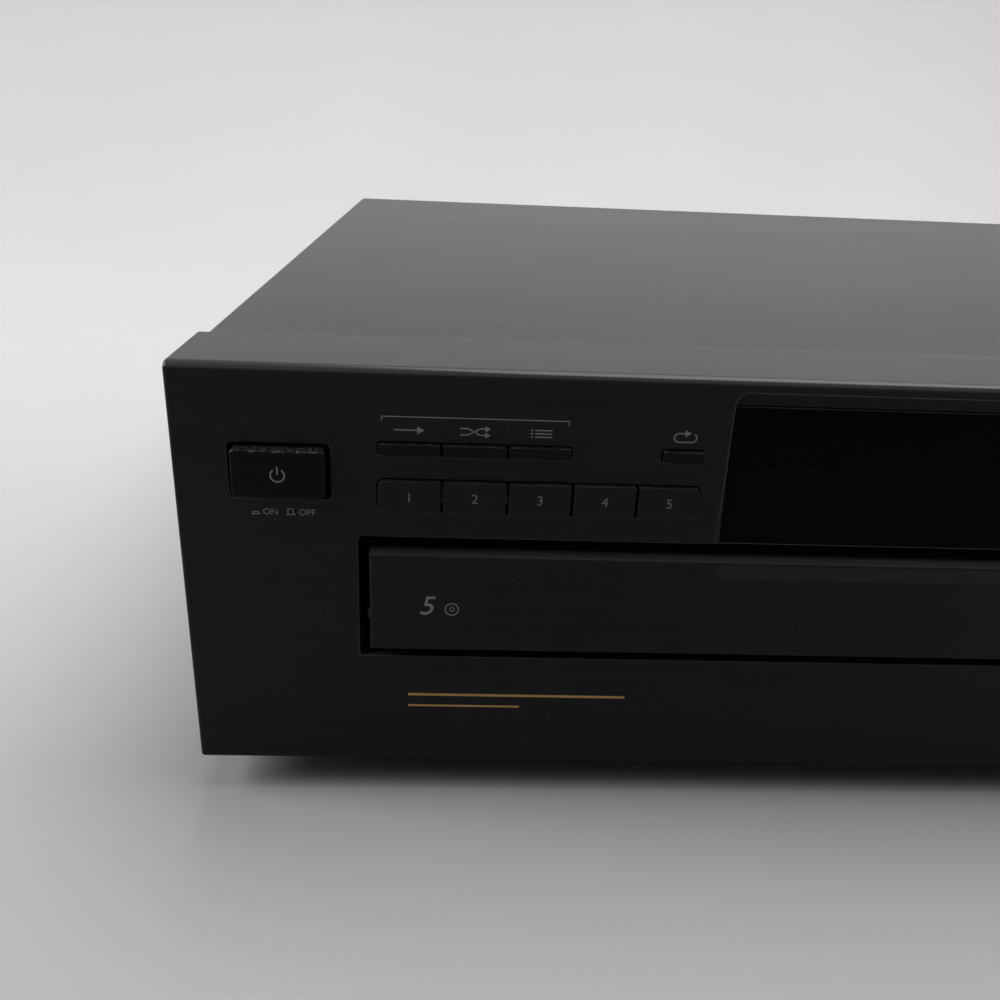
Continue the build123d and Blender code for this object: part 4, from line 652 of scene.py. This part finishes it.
def band(inner, outer):
    """Thin slab between two loops of n points each, so that ring number k joins k to k + 1."""
    inner, outer = np.asarray(inner, float), np.asarray(outer, float)
    count = len(inner)
    both = np.vstack((outer, inner))
    front = np.column_stack((both[:, 0], np.full(2 * count, -ink_thick), both[:, 1]))
    rear = front * (1.0, 0.0, 1.0)
    index = np.arange(count)
    after = (index + 1) % count
    front_faces = np.column_stack((index, after, after + count, index + count))
    rear_faces = front_faces[:, ::-1] + 2 * count
    outer_wall = np.column_stack((index, index + 2 * count, after + 2 * count, after))
    inner_wall = np.column_stack((after, after + 2 * count, index + 2 * count, index)) + count
    faces = np.vstack((front_faces, rear_faces, outer_wall, inner_wall)).tolist()
    return np.vstack((front, rear)), faces


def circle(radius, middle=(0.0, 0.0), count=40, start=0.0, turn=360.0):
    """Points on an arc: middle + radius (cos a, sin a), a from start over turn degrees."""
    closed = abs(turn) >= 360.0
    angles = np.radians(start + turn * np.arange(count) / (count if closed else count - 1))
    return middle + radius * np.column_stack((np.cos(angles), np.sin(angles)))


def arc_strip(radius, width, start, turn, middle=(0.0, 0.0), count=24):
    """Outline of a curved stroke: the outer arc forwards, then the inner arc backwards."""
    outer = circle(radius + width / 2, middle, count, start, turn)
    inner = circle(radius - width / 2, middle, count, start, turn)
    return np.vstack((outer, inner[::-1]))


def bar(x0, x1, z0, z1):
    """Upright rectangle, anticlockwise."""
    return np.array(((x0, z0), (x1, z0), (x1, z1), (x0, z1)))


def stroke(a, b, width):
    """Straight stroke from a to b."""
    a, b = np.array(a, float), np.array(b, float)
    along = (b - a) / np.linalg.norm(b - a)
    side = np.array((-along[1], along[0])) * width / 2
    return np.array((a - side, b - side, b + side, a + side))


def head(tip, heading, size):
    """Arrow head: a triangle with its point at tip, pointing along heading in degrees."""
    angle = math.radians(heading)
    along = np.array((math.cos(angle), math.sin(angle)))
    side = np.array((-along[1], along[0]))
    base = np.array(tip, float) - along * size
    return np.array((tip, base + side * size * 0.6, base - side * size * 0.6))


def mark(name, slabs, middle, face_y, material, body):
    """Joins slabs, in millimetres round 0, into one printed mark on a face that looks to -Y."""
    points, faces, offset = [], [], 0
    for slab_points, slab_faces in slabs:
        placed = slab_points.copy()
        placed[:, 0] = placed[:, 0] * MM + middle[0]
        placed[:, 2] = placed[:, 2] * MM + middle[1]
        placed[:, 1] += face_y
        points.append(placed)
        faces += [np.add(face, offset).tolist() for face in slab_faces]
        offset += len(placed)
    mesh = bpy.data.meshes.new(name)
    mesh.from_pydata(np.vstack(points).tolist(), [], faces)
    new_piece(name, mesh, material, body)


def figure(name, text, middle, height, face, material, body, lean=0.0, flat=False):
    """Printed figure or switch word, scaled to a height in metres and centred on a place.

    It stands on a face that looks to -Y, or lies flat on one that looks up; face is that face's
    place along Y or Z, and lean is the slant of the letters.
    """
    curve = bpy.data.curves.new(name, "FONT")
    curve.body = text
    curve.shear = lean
    curve.extrude = 0.5
    maker = bpy.data.objects.new(name, curve)
    bpy.context.collection.objects.link(maker)
    bpy.context.view_layer.update()
    mesh = bpy.data.meshes.new_from_object(maker)
    bpy.data.objects.remove(maker)
    spots = np.empty(len(mesh.vertices) * 3)
    mesh.vertices.foreach_get("co", spots)
    spots = spots.reshape(-1, 3)
    low, high = spots.min(0), spots.max(0)
    scale = height / (high[1] - low[1])
    across_face = (spots[:, 0] - (low[0] + high[0]) / 2) * scale
    up_face = (spots[:, 1] - (low[1] + high[1]) / 2) * scale
    proud = (spots[:, 2] + 0.5) * ink_thick
    if flat:
        placed = np.column_stack((middle[0] + across_face, middle[1] + up_face, face + proud))
    else:
        placed = np.column_stack((middle[0] + across_face, face - proud, middle[1] + up_face))
    mesh.vertices.foreach_set("co", placed.ravel())
    new_piece(name, mesh, material, body)


def middle_of(node):
    """Middle of a node as seen from the front, as x and z."""
    low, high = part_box(node)
    return (low.x + high.x) / 2, (low.z + high.z) / 2


def face_of(node):
    """Place of a node's front face along Y."""
    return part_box(node)[0].y


def body_of(node):
    """Name of the body that a node belongs to."""
    bodies = frame["record"]["behaviour"]["bodies"]
    return next(body for body, names in bodies.items() if node in names)


def print_front():
    """All printed marks of the front: plain figures, switch words and signs."""
    pale = ink("pale_ink", (0.24, 0.24, 0.235, 1.0))
    soft = ink("soft_ink", (0.18, 0.18, 0.175, 1.0))
    gold = ink("gold_ink", (0.58, 0.34, 0.09, 1.0), 0.40)
    print_keys(soft)
    print_modes(pale)
    print_power(pale)
    print_transport(soft)
    print_drawer(pale)
    rules = [slab(bar(-27.5, 27.5, 0.75, 1.45)), slab(bar(-27.5, 0.7, -2.5, -1.95))]
    mark("gold_rules", rules, gold_rules_place, panel_face, gold, "chassis")


def print_keys(soft):
    """Plain numbers 1 to 5 on the disc keys."""
    for number in range(1, 6):
        node = f"disc_button_{number}"
        place, face = middle_of(node), face_of(node)
        name = f"key_number_{number}"
        figure(name, str(number), place, key_figure, face, soft, body_of(node))


def print_modes(pale):
    """Signs over the mode keys: straight on, crossed arrows, a list, and a loop for repeat.

    Each sign is drawn in millimetres round its own middle.
    """
    line, reach = 0.30, 3.4
    straight = [slab(stroke((-reach, 0.0), (1.9, 0.0), line)), slab(head((reach, 0.0), 0.0, 1.6))]
    crossed = []
    for z in (-0.75, 0.75):
        crossed.append(slab(stroke((-reach, z), (-1.6, z), line)))
        crossed.append(slab(stroke((-1.6, z), (1.0, -z), line)))
        crossed.append(slab(stroke((1.0, -z), (2.2, -z), line)))
        crossed.append(slab(head((reach, -z), 0.0, 1.2)))
    listed = []
    for row in (-0.8, 0.0, 0.8):
        listed.append(slab(bar(-2.4, -1.9, row - line / 2, row + line / 2)))
        listed.append(slab(bar(-1.4, 2.4, row - line / 2, row + line / 2)))
    for name, sign in (("continue", straight), ("shuffle", crossed), ("program", listed)):
        place = (middle_of(f"{name}_button")[0], mode_sign_z)
        mark(f"{name}_sign", sign, place, panel_face, pale, "chassis")
    half, rule = 21.0, 0.22
    bracket = [slab(bar(-half, half, 0.0, rule))]
    for x in (-half + rule / 2, half - rule / 2):
        bracket.append(slab(bar(x - rule / 2, x + rule / 2, -0.9, 0.0)))
    place = (middle_of("shuffle_button")[0], mode_bracket_z)
    mark("mode_bracket", bracket, place, panel_face, pale, "chassis")
    radius, end = 1.05, 1.5
    loop = [slab(arc_strip(radius, line, 90.0, 180.0, (-end, 0.0)))]
    loop.append(slab(arc_strip(radius, line, -90.0, 150.0, (end, 0.0))))
    loop.append(slab(bar(-end, end, -radius - line / 2, -radius + line / 2)))
    loop.append(slab(bar(-end, -0.1, radius - line / 2, radius + line / 2)))
    loop.append(slab(head((1.3, radius), 0.0, 1.4)))
    place = (middle_of("repeat_button")[0], mode_sign_z)
    mark("repeat_sign", loop, place, panel_face, pale, "chassis")


def print_power(pale):
    """Power sign on its button, ON and OFF with the button's two heights below it.

    A height is drawn in millimetres as the button's section: a foot, two walls and a lid.
    """
    middle = middle_of("power_button")
    sign = [slab(arc_strip(1.55, 0.34, 125.0, 290.0)), slab(bar(-0.17, 0.17, 0.2, 2.1))]
    mark("power_sign", sign, middle, face_of("power_button"), pale, "power")
    left = middle[0] - switch_words_aside
    for name, word, x in (("on_word", "ON", 4.0), ("off_word", "OFF", 12.4)):
        place = (left + x * MM, switch_word_z)
        figure(name, word, place, switch_word, panel_face, pale, "chassis")
    line, base, aside, half = 0.22, -0.78, 0.6, 1.1
    for name, x, rise in (("pushed_sign", 0.7, 0.55), ("out_sign", 8.6, 1.45)):
        lid_z = base + rise
        foot = bar(-half, half, base, base + line)
        left_wall = bar(-aside - line / 2, -aside + line / 2, base + line, lid_z)
        right_wall = bar(aside - line / 2, aside + line / 2, base + line, lid_z)
        lid = bar(-aside - line / 2, aside + line / 2, lid_z, lid_z + line)
        slabs = [slab(outline) for outline in (foot, left_wall, right_wall, lid)]
        mark(name, slabs, (left + x * MM, switch_word_z), panel_face, pale, "chassis")


def print_transport(soft):
    """Transport signs on the right-hand keys and the sign for the drawer."""
    half = 1.0

    def arrow(x, side):
        """Solid arrow with its middle at x, pointing right, or left where side is -1."""
        tail, tip = x - side * half * 0.9, x + side * half * 0.9
        return slab(((tail, -half), (tip, 0.0), (tail, half))[::side])

    signs = {
        "track_back": [arrow(-0.9, -1), arrow(0.9, -1), slab(bar(-2.3, -1.95, -half, half))],
        "track_forward": [arrow(-0.9, 1), arrow(0.9, 1), slab(bar(1.95, 2.3, -half, half))],
        "play": [arrow(0.0, 1)],
        "pause": [slab(bar(-0.85, -0.3, -half, half)), slab(bar(0.3, 0.85, -half, half))],
        "stop": [slab(bar(-0.95, 0.95, -0.95, 0.95))],
    }
    for name, sign in signs.items():
        node = f"{name}_button"
        mark(f"{name}_sign", sign, middle_of(node), face_of(node), soft, body_of(node))
    eject = [slab(head((0.0, 1.7), 90.0, 2.0)), slab(bar(-1.3, 1.3, -1.1, -0.65))]
    node = "open_close_button"
    mark("drawer_sign", eject, middle_of(node), face_of(node), soft, body_of(node))


def print_drawer(pale):
    """Figure 5 and the sign of a disc on the drawer's front."""
    place, face = drawer_figure_place, front_low.y
    figure("drawer_number", "5", place, drawer_figure, face, pale, "drawer", 0.25)
    rings = [band(circle(1.45), circle(1.72))]
    rings.append(band(circle(0.42, count=24), circle(0.62, count=24)))
    mark("disc_sign", rings, disc_sign_place, face, pale, "drawer")


def print_table():
    """Well numbers 1 to 5 on the hub of the carousel, each towards its own well."""
    pale = ink("table_ink", (0.34, 0.34, 0.33, 1.0))
    for number in range(1, 6):
        name = f"well_number_{number}"
        angle = math.radians(90.0 + 72.0 * (number - 1))
        x = table_middle.x + math.cos(angle) * well_figures_radius
        y = table_middle.y + math.sin(angle) * well_figures_radius
        place = (x, y)
        figure(name, str(number), place, well_figure, table_top, pale, "carousel", flat=True)


# ------------------------------------------------------------------ stage and light
def sweep_backdrop():
    """Pale floor that curves up behind the object: z = 0, then a quarter circle, then a wall."""
    paper = Finish("backdrop_paper")
    # painted shade: the paper in front of the object is given a darker tint than the paper under
    # and behind it
    lit_paper_tints = (0.70, 0.69, 0.69, 1.0), (0.76, 0.75, 0.745, 1.0)
    shaded_paper_tints = (0.49, 0.48, 0.48, 1.0), (0.53, 0.52, 0.515, 1.0)
    mottle = paper.noise(3.0, 4.0, 0.6)
    fibre = paper.noise(700.0, 2.0, 0.6)
    wall = paper.blend(mottle, *lit_paper_tints)
    floor = paper.blend(mottle, *shaded_paper_tints)
    # the painted shade fades out from the front towards the object
    painted_shade_fades_from, painted_shade_fades_over = -0.55, 0.75
    depth = paper.along("Y").above(painted_shade_fades_from, painted_shade_fades_over)
    paper.set(Base_Color=paper.blend(depth, floor, wall))
    paper.set(Roughness=0.85 + 0.1 * fibre)
    paper.bump(fibre, 0.03 * MM, 0.3)
    radius, wall_y, half_width, near_y, top = 0.6, 1.15, 3.0, -1.7, 2.6
    angles = np.linspace(0.0, np.pi / 2, 24)
    ys = np.concatenate(([near_y], wall_y - radius + radius * np.sin(angles), [wall_y]))
    zs = np.concatenate(([0.0], radius - radius * np.cos(angles), [top]))
    count = len(ys)
    left = np.column_stack((np.full(count, -half_width), ys, zs))
    points = np.vstack((left, left * (-1.0, 1.0, 1.0)))
    index = np.arange(count - 1)
    faces = np.column_stack((index, index + count, index + count + 1, index + 1)).tolist()
    mesh = bpy.data.meshes.new("backdrop")
    mesh.from_pydata(points.tolist(), [], faces)
    mesh.polygons.foreach_set("use_smooth", [True] * len(faces))
    mesh.materials.append(paper.material)
    backdrop = bpy.data.objects.new("backdrop", mesh)
    bpy.context.collection.objects.link(backdrop)


def soft_lamp(name, place, aim, size, power, colour):
    """Square soft lamp at a place, turned towards a point."""
    data = bpy.data.lights.new(name, "AREA")
    data.size = size
    data.energy = power
    data.color = colour
    lamp = bpy.data.objects.new(name, data)
    lamp.location = place
    lamp.rotation_euler = (Vector(aim) - Vector(place)).to_track_quat("-Z", "Y").to_euler()
    bpy.context.collection.objects.link(lamp)


def dim_room():
    """Dim room round the object; seen directly or mirrored, its far walls are pale grey."""
    world = bpy.data.worlds.new("room")
    world.use_nodes = True
    room = Bench(world.node_tree)
    path = room.node("ShaderNodeLightPath", {}, {})
    seen = path.out("Is Camera Ray") + path.out("Is Glossy Ray") + path.out("Is Transmission Ray")
    background = room.tree.nodes["Background"]
    light, shown, far_wall = 0.056, 0.72, (0.62, 0.625, 0.64, 1.0)
    background.inputs["Color"].default_value = far_wall
    room.plug(background.inputs["Strength"], light + seen.above(0.2, 0.5) * shown)
    bpy.context.scene.world = world


def light_studio():
    """One wide lamp above and behind, a weaker one from the left, and a dim room."""
    dim_room()
    soft_lamp(
        "sky_lamp",
        place=(0.50, 0.42, 1.9),
        aim=(0.0, 0.25, 0.0),
        size=1.7,
        power=34.0,
        colour=(1.0, 0.992, 0.98),
    )
    soft_lamp(
        "side_lamp",
        place=(-1.9, -0.35, 1.3),
        aim=(-0.2, 0.1, 0.0),
        size=1.2,
        power=24.0,
        colour=(0.98, 0.985, 1.0),
    )


make_camera()
dress_nodes()
print_front()
print_table()
sweep_backdrop()
light_studio()
bpy.context.scene.view_settings.view_transform = "Standard"
